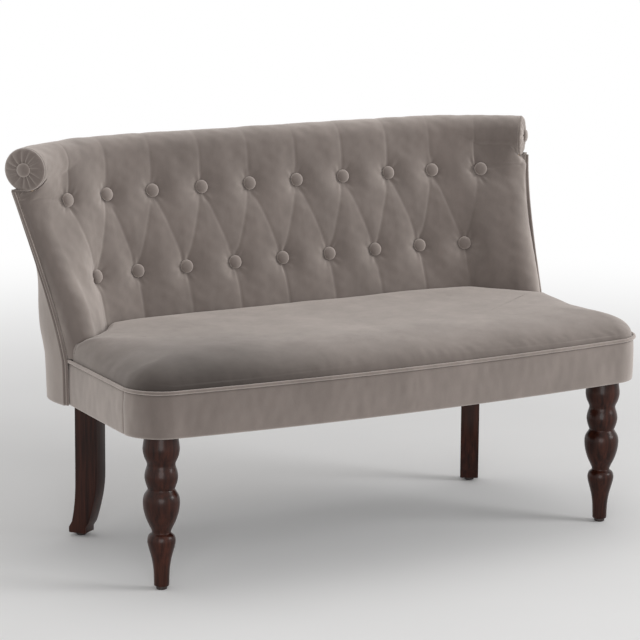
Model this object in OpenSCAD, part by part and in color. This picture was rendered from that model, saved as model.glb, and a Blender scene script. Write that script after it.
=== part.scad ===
// Two-seat high back settee: a timber seat frame on turned and sabre legs,
// a buttoned back that rolls over at the top and turns forward into short wings,
// and a crowned, piped seat. Millimetres, +Z up, -Y towards the person seated,
// origin on the floor under the middle of the piece.

/* [Overall] */
// Height to the top of the rolled edge
overall_h = 725; // [690:5:780]
// Depth from the front piping to the rear of the roll
overall_d = 602; // [580:2:640]

/* [Seat] */
// Half width of the seat over its border cloth
seat_half_w = 529; // [480:1:580]
// How far the front bows forward at the middle
seat_bow = 30; // [20:1:40]
// Radius of the front corners
seat_corner_r = 70; // [60:1:85]
// How much each side draws in on its way back
side_taper = 20; // [10:1:26]
// Floor to the lower edge of the seat border
seat_base_z = 276; // [240:1:310]
// Height of the seat border
border_h = 76; // [70:1:90]
// Rise of the seat's crown above its piping
crown_h = 54; // [40:1:65]

/* [Back] */
// How far in from each side of the seat the back begins to bend
bend_in = 239; // [225:1:260]
// Radius of the bend that turns each wing forward
back_bend_r = 367; // [340:1:400]
// Turn of the roll at each end
roll_turn = 42; // [36:1:46]
// How far the padded front leans back between the lower buttons and the roll
back_lean = 54.8; // [44:0.2:62]
// How far the plain outer back leans back between its foot and the roll
outer_lean = 64.2; // [44:0.2:78]
// Radius of the roll along the top edge
roll_r = 39; // [34:1:42]
// Padding over the back posts
pad_t = 36; // [30:1:42]
// Radius of the padded front edge of a wing
nose_r = 33; // [29:1:35]

/* [Buttoning] */
// How far past the start of each bend the last lower button sits
split_run = 122; // [116:1:126]
// Drop from the top to the upper row of buttons
upper_row_drop = 101; // [95:1:110]
// Height of the lower row of buttons
lower_row_z = 483; // [465:1:500]
// Diameter of a covered button
button_d = 25; // [20:1:28]
// Depth that a button draws the pad in
tuft_depth = 14; // [8:1:18]
// Depth of the pleats between the buttons
pleat_depth = 6; // [3:0.5:9]

/* [Legs] */
// Distance of each front leg in from the side of the seat
front_leg_side = 63; // [50:1:75]
// Distance of each rear foot in from the side of the seat
rear_foot_side = 99; // [90:1:125]
// Largest diameter of the turned legs
leg_bulb_d = 64; // [54:1:72]
// Width of the square rear legs
rear_leg_w = 36; // [30:1:42]
// Turn of the rear legs away from straight back
rear_leg_turn = 34; // [20:1:45]
// Height of a nail-on glide
glide_h = 6; // [4:0.5:9]

/* [Hidden] */
$fn = 48;

// Clearances shared by all pieces
fit = 0.3;
cut_over = 1;

// Colours
velvet = [0.50, 0.47, 0.45];
velvet_dark = [0.42, 0.39, 0.37];
walnut = [0.20, 0.10, 0.08];
timber = [0.80, 0.66, 0.46];
steel = [0.70, 0.71, 0.73];
jute = [0.72, 0.62, 0.45];
black_cloth = [0.13, 0.13, 0.14];
hardboard = [0.55, 0.42, 0.28];
nylon = [0.75, 0.73, 0.70];

// Small helpers
function mix(a, b, t) = a + (b - a) * t;
function clip(t) = min(max(t, 0), 1);
function smooth(t) = clip(t) * clip(t) * (3 - 2 * clip(t));
function steps(n) = [for (i = [0:n]) i / n];
function mirrored(p) = [-p.x, p.y, p.z];
function backwards(list) = [for (i = [len(list) - 1:-1:0]) list[i]];

// A closed solid through a list of rings, each with the same number of points.
// The caps are fans round the first point of their ring, or for a sheet, strips from its
// front row of points to its rear row.
module loft(rings, sheet = false) {
    n = len(rings[0]);
    last = (len(rings) - 1) * n;
    sides = [for (i = [0:len(rings) - 2]) for (j = [0:n - 1]) let (
        a = i * n + j, b = i * n + (j + 1) % n, c = b + n, d = a + n) each [[a, c, b], [a, d, c]]];
    caps = sheet
        ? [for (j = [0:n / 2 - 2]) let (k = n - 1 - j) each [[j, j + 1, k - 1], [j, k - 1, k],
            [last + j, last + k - 1, last + j + 1], [last + j, last + k, last + k - 1]]]
        : [for (j = [1:n - 2]) each [[0, j, j + 1], [last, last + j + 1, last + j]]];
    polyhedron([for (r = rings) each r], concat(sides, caps));
}

// The same solid for the left and the right, from the rings of the right one
module on_side(side) { mirror([side > 0 ? 0 : 1, 0, 0]) children(); }
module loft_side(rings, side) { on_side(side) loft(rings); }

// Levels, from the floor up
frame_z = seat_base_z + 4;
rail_h = 65;
rail_top_z = frame_z + rail_h;
piping_z = seat_base_z + border_h;
rib_t = 20;
rib_top_z = rail_top_z + rib_t;
roll_z = overall_h - roll_r;
top_rail_h = 20;
top_rail_front = -14;
top_rail_w = 20;
top_rail_z = roll_z - roll_r + cut_over;
deck_rise = 7;
deck_z = rail_top_z + deck_rise;
roll_foot_z = roll_z - roll_r - fit;
upper_row_z = overall_h - upper_row_drop;
back_straight = seat_half_w - bend_in;
half_pitch = (back_straight + split_run) / 8;
front_leg_x = seat_half_w - front_leg_side;
rear_foot_x = seat_half_w - rear_foot_side;
back_rake = atan(back_lean / (roll_z - lower_row_z));
outer_rake = atan(outer_lean / (roll_z - seat_base_z));

// Plan of the seat's rim: a bowed front, two corners and two tapering sides.
// Each border stands this far out of the frame and the piping this far out of the border.
border_t = 4;
piping_r = 4;
piping_out = 0.5;
rail_t = 24;
front_y = -overall_d / 2 + piping_r + piping_out;
corner_x = seat_half_w - seat_corner_r;
bow_r = (seat_half_w * seat_half_w + seat_bow * seat_bow) / (2 * seat_bow);
bow_y = front_y + bow_r;
corner_y = bow_y - sqrt(pow(bow_r - seat_corner_r, 2) - corner_x * corner_x);
bow_angle = asin(corner_x / (bow_r - seat_corner_r));
wing_foot_in = 250;
wing_foot_y = overall_d / 2 - wing_foot_in;
side_angle = atan(side_taper / (wing_foot_y - corner_y));
side_len = (wing_foot_y - corner_y) / cos(side_angle);

// Points of the rim, moved outwards by out; t runs 0 to 1 along each stretch
function bow_pt(t, out) = let (a = bow_angle * t)
    [(bow_r + out) * sin(a), bow_y - (bow_r + out) * cos(a)];
function corner_pt(t, out) = let (a = mix(bow_angle, 90 + side_angle, t))
    [corner_x + (seat_corner_r + out) * sin(a), corner_y - (seat_corner_r + out) * cos(a)];
function side_pt(t, out) = let (c = corner_pt(1, out), d = side_len * t)
    [c.x - d * sin(side_angle), c.y + d * cos(side_angle)];
function half_rim(out, bows, corners, sides) = concat(
    [for (t = steps(bows)) bow_pt(t, out)],
    [for (i = [1:corners]) corner_pt(i / corners, out)],
    [for (i = [1:sides]) side_pt(i / sides, out)]);

// Sweeps a 2D profile along part of the rim, as true revolves and straight runs.
// The profile's X is the distance out of the rim and its Y is the height.
module sweep_bow() {
    translate([0, bow_y, 0]) rotate([0, 0, -90 - bow_angle])
        rotate_extrude(angle = 2 * bow_angle, $fn = 720) translate([bow_r, 0]) children();
}
module sweep_corner() {
    translate([corner_x, corner_y, 0]) rotate([0, 0, bow_angle - 90])
        rotate_extrude(angle = 90 + side_angle - bow_angle, $fn = 96)
            translate([seat_corner_r, 0]) children();
}
module sweep_side() {
    translate([corner_x, corner_y, 0]) rotate([0, 0, side_angle])
        rotate([90, 0, 0]) translate([0, 0, -side_len]) linear_extrude(side_len)
            translate([seat_corner_r, 0]) children();
}

// Wing edge: the seam where the padded front of a wing meets its outer panel
edge_foot_in = 19;
edge_foot_x = seat_half_w - edge_foot_in;
edge_top_out = 10.4;
edge_flare = back_straight + back_bend_r * sin(roll_turn) + edge_top_out - edge_foot_x;
edge_foot_back = 3;
edge_foot_y = wing_foot_y + edge_foot_back;
edge_top_back = 4.3;
edge_top_y = overall_d / 2 - roll_r - back_bend_r * (1 - cos(roll_turn)) + edge_top_back;
edge_start_drop = 10;
edge_start_z = rib_top_z - edge_start_drop;
edge_end_drop = 41;
edge_end_z = roll_z - edge_end_drop;
edge_ease = 0.2;
flare_drop = 66;
edge_high_z = roll_z - flare_drop;
turn_rise = 25;
turn_low_z = rib_top_z + turn_rise;
turn_drop = 56;
turn_high_z = roll_z - turn_drop;
edge_gap = 9;
wing_foot_turn = 95;
wing_top_turn = 46;
run_foot = 24;
run_top = 2;
outer_foot_in = 85;
outer_foot_y = overall_d / 2 - outer_foot_in;
function rise(z) = (z - seat_base_z) / (edge_high_z - seat_base_z);
function wing_t(z) = smooth((z - turn_low_z) / (turn_high_z - turn_low_z));
function edge_x(z) = edge_foot_x + edge_flare * pow(max(rise(z), 0), 2);
function edge_y(z) = let (t = clip((z - edge_start_z) / (edge_end_z - edge_start_z)))
    mix(edge_foot_y, edge_top_y, mix(t, smooth(t), edge_ease));
function wing_turn(z) = mix(wing_foot_turn, wing_top_turn, wing_t(z));
function out_dir(z) = [sin(wing_turn(z)), cos(wing_turn(z))];
function rear_dir(z) = [-cos(wing_turn(z)), sin(wing_turn(z))];
function edge_pt(z, out = 0, rear = 0) =
    [edge_x(z), edge_y(z)] + out_dir(z) * out + rear_dir(z) * rear;

// Outer back: straight, then a corner, then a short run to the wing edge
function outer_y(z) = outer_foot_y + tan(outer_rake) * (z - seat_base_z);
function outer_run(z) = mix(run_foot, run_top, wing_t(z));
function outer_r(z) = (outer_y(z) - edge_pt(z, edge_gap).y - outer_run(z) * sin(wing_turn(z)))
    / (1 - cos(wing_turn(z)));
function outer_straight(z) = edge_pt(z, edge_gap).x - outer_r(z) * sin(wing_turn(z))
    - outer_run(z) * cos(wing_turn(z));
function outer_arc(a, z, out) = [outer_straight(z) + (outer_r(z) + out) * sin(a),
    outer_y(z) - outer_r(z) + (outer_r(z) + out) * cos(a)];
// q runs from 0 at the middle, past 0.4 and 0.9 at the ends of the arc, to 1 at the wing edge
function outer_pt(q, z, out = 0) =
    q < 0.4 ? [outer_straight(z) * q / 0.4, outer_y(z) + out]
    : q < 0.9 ? outer_arc(wing_turn(z) * (q - 0.4) / 0.5, z, out)
    : outer_arc(wing_turn(z), z, out) - rear_dir(z) * outer_run(z) * (q - 0.9) / 0.1;

arc_qs = [for (t = steps(12)) mix(0.4, 0.9, t)];

// Front of the posts, and the padded surface before them, p mm along the bend from the middle
post_foot_in = 105;
face_lower_in = 97;
post_foot_y = overall_d / 2 - post_foot_in;
face_lower_y = overall_d / 2 - face_lower_in;
function bend_at(p) = max(0, p - back_straight) / back_bend_r * 180 / PI;
function face_y(z) = max(post_foot_y, face_lower_y + tan(back_rake) * (z - lower_row_z));
function crest_y(z) = face_lower_y - pad_t + tan(back_rake) * (z - lower_row_z);
function bent(p, y, out) = let (a = bend_at(abs(p)), r = back_bend_r + out)
    [sign(p) * (min(abs(p), back_straight) + r * sin(a)), y - back_bend_r + r * cos(a)];
function face_pt(p, z, out = 0) = bent(p, face_y(z), out);
function crest_pt(p, z, in = 0) =
    bent(p, crest_y(z) + pad_t, -pad_t) + [sin(bend_at(abs(p))) * sign(p), cos(bend_at(abs(p)))] * in;

// Depth of the buttons' dimples and of the pleats, at p along the back and height z.
// Upper buttons sit on odd half pitches and lower ones on even half pitches.
dimple_r = 22;
pleat_r = 17;
function wrapped(h) = abs(h - 2 * round(h / 2));
function near(d, r) = max(0, 1 - d / r);
function dimple(d) = tuft_depth * exp(-pow(d / dimple_r, 2));
function row_t(z) = (z - lower_row_z) / (upper_row_z - lower_row_z);
function tuft(p, z) = let (h = p / half_pitch, v = row_t(z),
    upper = dimple(norm([wrapped(h - 1) * half_pitch, z - upper_row_z])),
    lower = abs(h) < 8.9 ? dimple(norm([wrapped(h) * half_pitch, z - lower_row_z])) : 0,
    off = v < 0 ? wrapped(h) : v > 1 ? wrapped(h - 1) : min(wrapped(h - v), wrapped(h + v)))
    max(upper, lower, pleat_depth * near(off * half_pitch, pleat_r));

// Front legs: a turned profile of bulbs and necks, from glide to leg top
front_leg_in = 77.5;
front_leg_y = front_y + front_leg_in;
leg_top_z = frame_z - fit;
leg_r = leg_bulb_d / 2;
foot_r = 13;
// Radii as shares of the largest, with the height shares that they stand at
leg_radius_shares = [0.41, 0.44, 0.52, 0.64, 0.74, 0.765, 0.70, 0.56, 0.515, 0.58, 0.80, 0.95,
    1.00, 0.95, 0.80, 0.73, 0.76, 0.86, 0.905, 0.86, 0.78, 0.765, 0.80, 0.93, 1.00, 0.96, 0.88];
leg_height_shares = [0.000, 0.100, 0.170, 0.225, 0.270, 0.300, 0.328, 0.343, 0.352, 0.375, 0.430, 0.490,
    0.545, 0.585, 0.615, 0.630, 0.640, 0.675, 0.710, 0.745, 0.775, 0.790, 0.805, 0.840, 0.885, 0.930, 1.000];
module turned_leg(side) {
    h = leg_top_z - glide_h;
    color(walnut) translate([side * front_leg_x, front_leg_y, glide_h])
        difference() {
            rotate_extrude() polygon(concat([[0, 0]],
                [for (i = [0:len(leg_radius_shares) - 1])
                    [leg_r * leg_radius_shares[i], h * leg_height_shares[i]]], [[0, h]]));
            translate([0, 0, h - leg_bolt_depth]) cylinder(r = leg_bolt_r + fit, h = leg_bolt_depth + cut_over);
        }
}

// Leg bolts screw up into flanged nuts set in the underside of the corner blocks
leg_bolt_r = 4;
leg_bolt_depth = 32;
leg_nut_r = 5.5;
leg_nut_h = 14;
leg_flange_r = 11;
leg_flange_t = 1.5;
rear_bolt_gap = 20;
rear_foot_in = 131;
rear_foot_y = overall_d / 2 - rear_foot_in;
foot_kick = 20;
rear_dir_xy = [sin(rear_leg_turn), cos(rear_leg_turn)];
rear_top = [rear_foot_x, rear_foot_y] - rear_dir_xy * foot_kick;
leg_bolt_places = concat(
    [for (s = [-1, 1]) [s * front_leg_x, front_leg_y]],
    [for (s = [-1, 1]) for (d = [-0.5, 0.5])
        [s * (rear_top.x + rear_dir_xy.x * rear_bolt_gap * d), rear_top.y + rear_dir_xy.y * rear_bolt_gap * d]]);

// Rear legs: square in section, sabre curved in the lower third, turned outwards
rear_leg_d = 45;
rear_foot_d = 34;
rear_leg_bend_share = 0.42;
function sabre(t) = foot_kick * pow(1 - clip(t / rear_leg_bend_share), 2);
module sabre_profile(h) {
    polygon(concat(
        [for (t = steps(10)) [sabre(t) - mix(rear_foot_d, rear_leg_d, smooth(t / rear_leg_bend_share)) / 2, h * t]],
        [for (t = backwards(steps(10)))
            [sabre(t) + mix(rear_foot_d, rear_leg_d, smooth(t / rear_leg_bend_share)) / 2, h * t]]));
}
module sabre_leg(side) {
    h = leg_top_z - glide_h;
    color(walnut) difference() {
        translate([side * rear_top.x, rear_top.y, glide_h]) rotate([0, 0, 90 - side * rear_leg_turn])
            rotate([90, 0, 0]) translate([0, 0, -rear_leg_w / 2]) linear_extrude(rear_leg_w) sabre_profile(h);
        for (d = [-0.5, 0.5]) translate([side * (rear_top.x + rear_dir_xy.x * rear_bolt_gap * d),
            rear_top.y + rear_dir_xy.y * rear_bolt_gap * d, leg_top_z - leg_bolt_depth])
            cylinder(r = leg_bolt_r + fit, h = leg_bolt_depth + cut_over);
    }
}

// Nail-on glides under the legs, flat where they meet the floor
glide_r = 9.5;
glide_ease = 2;
module glide(x, y) {
    color(nylon) translate([x, y, 0]) {
        cylinder(r1 = glide_r - glide_ease, r2 = glide_r, h = glide_ease);
        translate([0, 0, glide_ease]) cylinder(r = glide_r, h = glide_h - glide_ease);
    }
}

module leg_bolts() {
    color(steel) for (p = leg_bolt_places) translate([p.x, p.y, leg_top_z - leg_bolt_depth + fit])
        cylinder(r = leg_bolt_r, h = 2 * leg_bolt_depth);
}
module leg_nuts() {
    color(steel) for (p = leg_bolt_places) translate([p.x, p.y, frame_z]) difference() {
        union() {
            cylinder(r = leg_nut_r, h = leg_nut_h);
            cylinder(r = rear_bolt_gap / 2 - fit, h = leg_flange_t);
        }
        translate([0, 0, -cut_over]) cylinder(r = leg_bolt_r + fit / 3, h = leg_nut_h + 2 * cut_over);
    }
}
module leg_nut_cuts() {
    for (p = leg_bolt_places) translate([p.x, p.y, frame_z - cut_over]) {
        cylinder(r = leg_nut_r + fit / 3, h = leg_nut_h + cut_over + fit);
        cylinder(r = rear_bolt_gap / 2, h = leg_flange_t + cut_over);
        cylinder(r = leg_bolt_r + fit, h = leg_bolt_depth + cut_over + 2 * fit);
    }
}

// Seat frame: rails between solid corner blocks, doweled end to end
front_block_in = 52;
front_block_back = 48;
rear_block_reach = 35;
rear_block_in = 62;
rear_block_lap = 8;
front_joint_x = corner_x - front_block_in;
side_joint_y = corner_y + front_block_back;
rear_joint_y = wing_foot_y + rear_block_reach;
rear_joint_x = back_straight + rear_block_in;
rear_rail_t = 38;
board_t = 2.5;
skin_t = 4;
frame_out = -(skin_t + board_t + fit);
post_out = edge_gap + frame_out;
post_front = 10;
dowel_r = 4;
dowel_len = 40;
glue_gap = 2;
dowel_zs = [frame_z + rail_h * 0.28, frame_z + rail_h * 0.72];
rear_out_y = outer_pt(0, frame_z, frame_out).y;
module at_rail_level() { translate([0, 0, frame_z]) children(); }
module rail_profile(t) { translate([-border_t - fit - t, frame_z]) square([t, rail_h]); }

module front_rail() {
    color(timber) difference() {
        intersection() {
            sweep_bow() rail_profile(rail_t);
            translate([-front_joint_x, front_y - cut_over, frame_z - cut_over])
                cube([2 * front_joint_x, 4 * rail_t, rail_h + 2 * cut_over]);
        }
        dowel_holes();
    }
}
module block_outline() {
    intersection() {
        union() {
            translate([corner_x, corner_y]) circle(r = seat_corner_r - border_t - fit);
            translate([front_joint_x, corner_y - seat_corner_r])
                square([corner_x - front_joint_x, seat_corner_r + side_joint_y - corner_y]);
            translate([front_joint_x, corner_y]) square([seat_half_w - front_joint_x, side_joint_y - corner_y]);
        }
        translate([0, bow_y]) circle(r = bow_r - border_t - fit, $fn = 720);
        translate([0, front_y]) square([seat_half_w, side_joint_y - front_y]);
        translate([corner_x, corner_y]) rotate([0, 0, side_angle]) translate([-2 * seat_half_w, -seat_half_w])
            square([2 * seat_half_w + seat_corner_r - border_t - fit, 2 * seat_half_w]);
    }
}
module front_block(side) {
    color(timber) difference() {
        on_side(side) at_rail_level() linear_extrude(rail_h) block_outline();
        leg_nut_cuts();
        dowel_holes();
    }
}
function side_in(y) = (y - corner_y) * tan(side_angle);
side_face_x = corner_x + (seat_corner_r - border_t - fit) / cos(side_angle);
module side_rail(side) {
    color(timber) difference() {
        on_side(side) at_rail_level() linear_extrude(rail_h) polygon([
            for (c = [[side_joint_y, 0], [rear_joint_y, 0], [rear_joint_y, rail_t], [side_joint_y, rail_t]])
                [side_face_x - side_in(c[0]) - c[1], c[0]]]);
        dowel_holes();
    }
}
module rear_block(side) {
    color(timber) difference() {
        on_side(side) at_rail_level() linear_extrude(rail_h) polygon(concat(
            [[rear_joint_x, rear_out_y - rear_rail_t], [rear_joint_x, rear_out_y]],
            [for (q = arc_qs) outer_pt(q, frame_z, frame_out)],
            [[side_face_x - side_in(wing_foot_y + rear_block_lap), wing_foot_y + rear_block_lap],
            [side_face_x - side_in(rear_joint_y), rear_joint_y],
            [side_face_x - side_in(rear_joint_y) - rail_t, rear_joint_y],
            [rear_joint_x + rail_t, rear_joint_y + rail_t / 2]]));
        leg_nut_cuts();
        dowel_holes();
        back_bolt_cuts();
    }
}
module rear_rail() {
    color(timber) difference() {
        translate([-rear_joint_x, rear_out_y - rear_rail_t, frame_z]) cube([2 * rear_joint_x, rear_rail_t, rail_h]);
        dowel_holes();
        back_bolt_cuts();
    }
}
centre_h = 42;
centre_front_y = front_y + border_t + fit + rail_t;
module centre_rail() {
    color(timber) difference() {
        translate([-rail_t / 2, centre_front_y + fit, frame_z])
            cube([rail_t, rear_out_y - rear_rail_t - centre_front_y - fit, centre_h]);
        dowel_holes();
    }
}

// Dowels: a point on each joint and the direction that they run in
front_dowel_y = bow_y - (bow_r - border_t - rail_t / 2) * cos(asin(front_joint_x / bow_r));
dowel_joints = concat(
    [for (s = [-1, 1]) [[s * front_joint_x, front_dowel_y], 0]],
    [for (s = [-1, 1]) [[s * (side_face_x - side_in(side_joint_y) - rail_t / 2), side_joint_y], 90]],
    [for (s = [-1, 1]) [[s * (side_face_x - side_in(rear_joint_y) - rail_t / 2), rear_joint_y], 90]],
    [for (s = [-1, 1]) [[s * rear_joint_x, rear_out_y - rear_rail_t / 2], 0]]);
module at_dowels() {
    for (j = dowel_joints) for (z = dowel_zs) translate([j[0].x, j[0].y, z])
        rotate([0, 0, j[1]]) rotate([0, 90, 0]) children();
}
module frame_dowels() {
    color(timber) at_dowels() cylinder(r = dowel_r, h = dowel_len, center = true);
}
module dowel_holes() {
    at_dowels() cylinder(r = dowel_r + fit / 3, h = dowel_len + glue_gap, center = true);
}

// Seat springs: sinuous wires from the front rail to the rear rail, clipped at both ends.
// Each wire's loops stretch to its own span, which the bow makes longer in the middle.
spring_count = 6;
spring_side = 154;
spring_pitch = 2 * (seat_half_w - spring_side) / (spring_count - 1);
spring_xs = [for (i = [0:spring_count - 1]) (i - (spring_count - 1) / 2) * spring_pitch];
wire_r = 1.9;
bend_thin = 0.1;
loop_w = 26;
loops = 16;
clip_w = 22;
clip_t = 1.2;
clip_len = 21.6;
spring_z = rail_top_z + wire_r + fit;
spring_end_p = back_straight + back_bend_r * asin((max(spring_xs) - back_straight) / back_bend_r) * PI / 180;
spring_rear_y = face_pt(spring_end_p, rail_top_z).y - clip_len / 2 - 4 * fit;
function spring_front_y(x) = bow_y - sqrt(pow(bow_r, 2) - x * x) + border_t + fit + rail_t / 2;
function loop_r(x) = (spring_rear_y - spring_front_y(x)) / (2 * loops);
module spring(x) {
    r = loop_r(x);
    for (i = [0:loops]) translate([x - loop_w / 2, spring_front_y(x) + 2 * r * i, spring_z])
        rotate([0, 90, 0]) cylinder(r = wire_r, h = loop_w);
    for (i = [0:loops - 1]) translate([x + (i % 2 == 0 ? 1 : -1) * loop_w / 2,
        spring_front_y(x) + r * (2 * i + 1), spring_z])
        rotate([0, 0, i % 2 == 0 ? -90 : 90]) rotate_extrude(angle = 180)
            translate([r, 0]) circle(r = wire_r - bend_thin);
}
module seat_springs() { color(steel) for (x = spring_xs) spring(x); }
module spring_clips() {
    color(steel) for (x = spring_xs) for (y = [spring_front_y(x), spring_rear_y])
        translate([x - clip_w / 2, y, spring_z]) rotate([0, 90, 0])
            difference() {
                union() {
                    cylinder(r = wire_r + fit + clip_t, h = clip_w);
                    translate([0, -clip_len / 2, 0]) cube([wire_r + fit, clip_len, clip_w]);
                }
                translate([0, 0, -cut_over]) cylinder(r = wire_r + fit / 2, h = clip_w + 2 * cut_over);
                translate([wire_r + fit, -clip_len, -cut_over]) cube([clip_len, 2 * clip_len, clip_w + 2 * cut_over]);
            }
}

// Heights that the sections of the pads are taken at, up to the tangent line of the roll
columns = 3;
lower_rows = 5;
between_rows = 6;
pad_foot_z = deck_z;
kink_z = lower_row_z + (post_foot_y - face_lower_y) / tan(back_rake);
fill_rows = [for (t = [0, 0.1, 0.3, 0.6, 0.85]) mix(roll_foot_z, roll_z, t)];
pad_rows = concat(
    [for (t = steps(lower_rows)) mix(pad_foot_z, lower_row_z, t)],
    [for (i = [1:between_rows]) mix(lower_row_z, upper_row_z, i / between_rows)],
    [for (i = [1:2]) mix(upper_row_z, roll_foot_z, i / 2.5)]);

// Section of a wing's pad at height z: from the tufted back out to the nose and round to the seam
split_p = 8 * half_pitch;
post_t = 24;
post_w = 34;
hessian_t = 0.8;
strap_t = 1.5;
web_gap = 0.8;
pad_back = strap_t + hessian_t + web_gap;
wing_bulge = 9;
seam_foot_angle = 88;
seam_top_angle = 58;
seam_low_drop = 63;
seam_high_drop = 34;
seam_low_z = lower_row_z - seam_low_drop;
seam_high_z = upper_row_z - seam_high_drop;
roll_gap = 0.9;
// Above the posts the nose shrinks away in front of the end of the roll
function roll_w(z) = max(fit - top_rail_front, sqrt(max(0, pow(roll_r + roll_gap, 2) - pow(z - roll_z, 2))));
function roll_front(p, z) = bent(p, roll_y, -roll_w(z));
function nose_rad(z) = z < roll_foot_z ? nose_r
    : nose_r * mix(0.34, 0.12, (z - roll_foot_z) / (roll_z - roll_foot_z));
function nose_c(z) = (z < roll_foot_z ? edge_pt(z) : roll_front(roll_end_p, z))
    - nose_rad(z) * [sin(seam_angle(z)), -cos(seam_angle(z))];
function nose_pt(b, z, r = 0) = nose_c(z) + (nose_rad(z) + r) * [sin(b), -cos(b)];
function wing_start(z) = crest_pt(split_p, z, tuft(split_p, z));
function tangent_angle(z) = let (v = crest_pt(split_p, z) - nose_c(z), d = norm(v))
    -acos(-v.y / d) + acos(min(1, nose_rad(z) / d));
function seam_angle(z) = z < roll_foot_z
    ? mix(seam_foot_angle, seam_top_angle, smooth((z - seam_low_z) / (seam_high_z - seam_low_z)))
    : 180 - wing_turn(z);
function wing_flat(t, z) = let (a = crest_pt(split_p, z), b = nose_pt(tangent_angle(z), z),
    n = [sin(tangent_angle(z)), -cos(tangent_angle(z))], d = norm(b - a))
    mix(a, b, t) + n * (wing_bulge * pow(sin(180 * t), 2) - tuft(split_p + d * t, z) * (1 - smooth((t - 0.5) / 0.4)));
// Webbing line behind the pads: along the posts to split_p, then straight to the wing post
web_share = 0.8;
function web_end(z, out) = edge_pt(z, post_out - post_t - fit, post_front + post_w) + [sin(30), cos(30)] * out;
function web_pt(u, z, out) = let (v = abs(u), w = v < web_share
    ? face_pt(split_p * v / web_share, z, out)
    : mix(face_pt(split_p, z, out), web_end(z, out), (v - web_share) / (1 - web_share)))
    [u < 0 ? -w.x : w.x, w.y];
wing_flat_n = 8;
wing_nose_n = 7;
function wing_front(z) = concat(
    [for (t = steps(wing_flat_n)) wing_flat(t, z)],
    [for (i = [1:wing_nose_n]) nose_pt(mix(tangent_angle(z), seam_angle(z), i / wing_nose_n), z)]);
function wing_inner(z) = z < roll_foot_z
    ? [edge_pt(z, post_out - fit, post_front - fit), edge_pt(z, post_out - post_t - fit, post_front - fit),
        web_pt(1, z, -pad_back), web_pt(web_share, z, -pad_back)]
    : [for (i = [1:4]) roll_front(mix(roll_end_p, split_p, i / 4), z)];
wing_foot_z = piping_z + 2 * piping_r + fit;
wing_rows = concat([wing_foot_z], [for (z = pad_rows) if (z > wing_foot_z && z < roll_foot_z - fit) z],
    [roll_foot_z - fit], fill_rows);
module wing_pad(side) {
    color(velvet) loft_side([for (z = wing_rows) [for (p = concat(wing_front(z), wing_inner(z))) at_z(p, z)]], side);
}

// Back pad between the wings: each ring is a section of the pad at one place along the back
function fade(z) = 1 - clip((z - roll_foot_z) / (roll_z - roll_foot_z));
function at_z(p, z) = [p.x, p.y, z];
function pad_ring(p) = concat(
    [at_z(face_pt(p, kink_z, -pad_back), kink_z), at_z(face_pt(p, pad_foot_z, -pad_back), pad_foot_z)],
    [for (z = concat(pad_rows, fill_rows)) if (z != roll_foot_z) at_z(crest_pt(p, z, tuft(p, z) * fade(z)), z)],
    [for (z = backwards(fill_rows)) if (z > roll_foot_z) at_z(roll_front(p, z), z)],
    [at_z(face_pt(p, roll_foot_z, -pad_back), roll_foot_z)]);
module back_pad() {
    color(velvet) loft([for (j = [8 * columns:-1:-8 * columns]) pad_ring(j * half_pitch / columns)]);
}

// Seat pad: its outline runs round the rim, then round each nose, along the wings and the back
rim_in = -(piping_r - piping_out + fit);
nose_stop = 36;
soft_gap = 0.7;
function seat_half(z) = concat(
    [for (t = steps(6)) bow_pt(t, rim_in)],
    [for (i = [1:7]) corner_pt(i / 7, rim_in)],
    [for (i = [1:4]) side_pt(i / 4 * seat_side_share, rim_in)],
    [for (i = [0:5]) nose_pt(mix(nose_stop, tangent_angle(z), i / 5), z, soft_gap)],
    [for (i = [1:5]) wing_flat(1 - i / 6, z) + [sin(tangent_angle(z)), -cos(tangent_angle(z))] * soft_gap],
    [for (i = [0:8]) crest_pt(split_p * (1 - i / 8), z, -soft_gap)]);
seat_side_share = 0.86;
seat_half_n = 38;
function seat_rear_weight(i) = smooth((i - 18) / 7);
crown_shares = [0, 0.05, 0.13, 0.25, 0.42, 0.6, 0.85];
spine_in = 241;
spine_y = front_y - piping_r - piping_out + spine_in;
spine_share = 0.45;
seat_top_z = piping_z + crown_h;
rear_dip = 7;
rear_meet_z = seat_top_z - rear_dip;
function crown(s) = let (t = clip(s / 0.6)) sqrt(1 - (1 - t) * (1 - t));
function edge_height(i) = mix(piping_z + piping_r, rear_meet_z, seat_rear_weight(i));
function seat_ring(s) = let (half = [for (i = [0:seat_half_n - 1]) let (
    z = edge_height(i), p = seat_half(z)[i])
    [p.x * (1 - spine_share * s), spine_y + (p.y - spine_y) * (1 - s), mix(z, seat_top_z, crown(s))]])
    ring_of(half);
function seat_foot_ring(t) = ring_of([for (i = [0:seat_half_n - 1]) let (
    z = mix(deck_z, edge_height(i), t)) at_z(seat_half(z)[i], z)]);
function ring_of(half) = concat(half, [for (i = [len(half) - 2:-1:1]) mirrored(half[i])]);
module seat_pad() {
    color(velvet) loft(concat([for (t = [0, 0.35, 0.7]) seat_foot_ring(t)], [for (s = crown_shares) seat_ring(s)]));
}

// Hessian over the springs, under the pad
deck_gap = 2;
hessian_z = deck_z - fit - hessian_t;
module seat_hessian() {
    color(jute) translate([0, 0, hessian_z]) linear_extrude(hessian_t) polygon([
        for (p = ring_of(concat([for (q = half_rim(-2 * border_t, 6, 6, 3)) [q.x, q.y, 0]],
            [[seat_half_w - 3 * nose_r, wing_foot_y, 0]],
            [for (i = [0:6]) let (q = face_pt(split_p * (1 - i / 6), deck_z, -deck_gap)) [q.x, q.y, 0]]))) [p.x, p.y]]);
}

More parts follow.
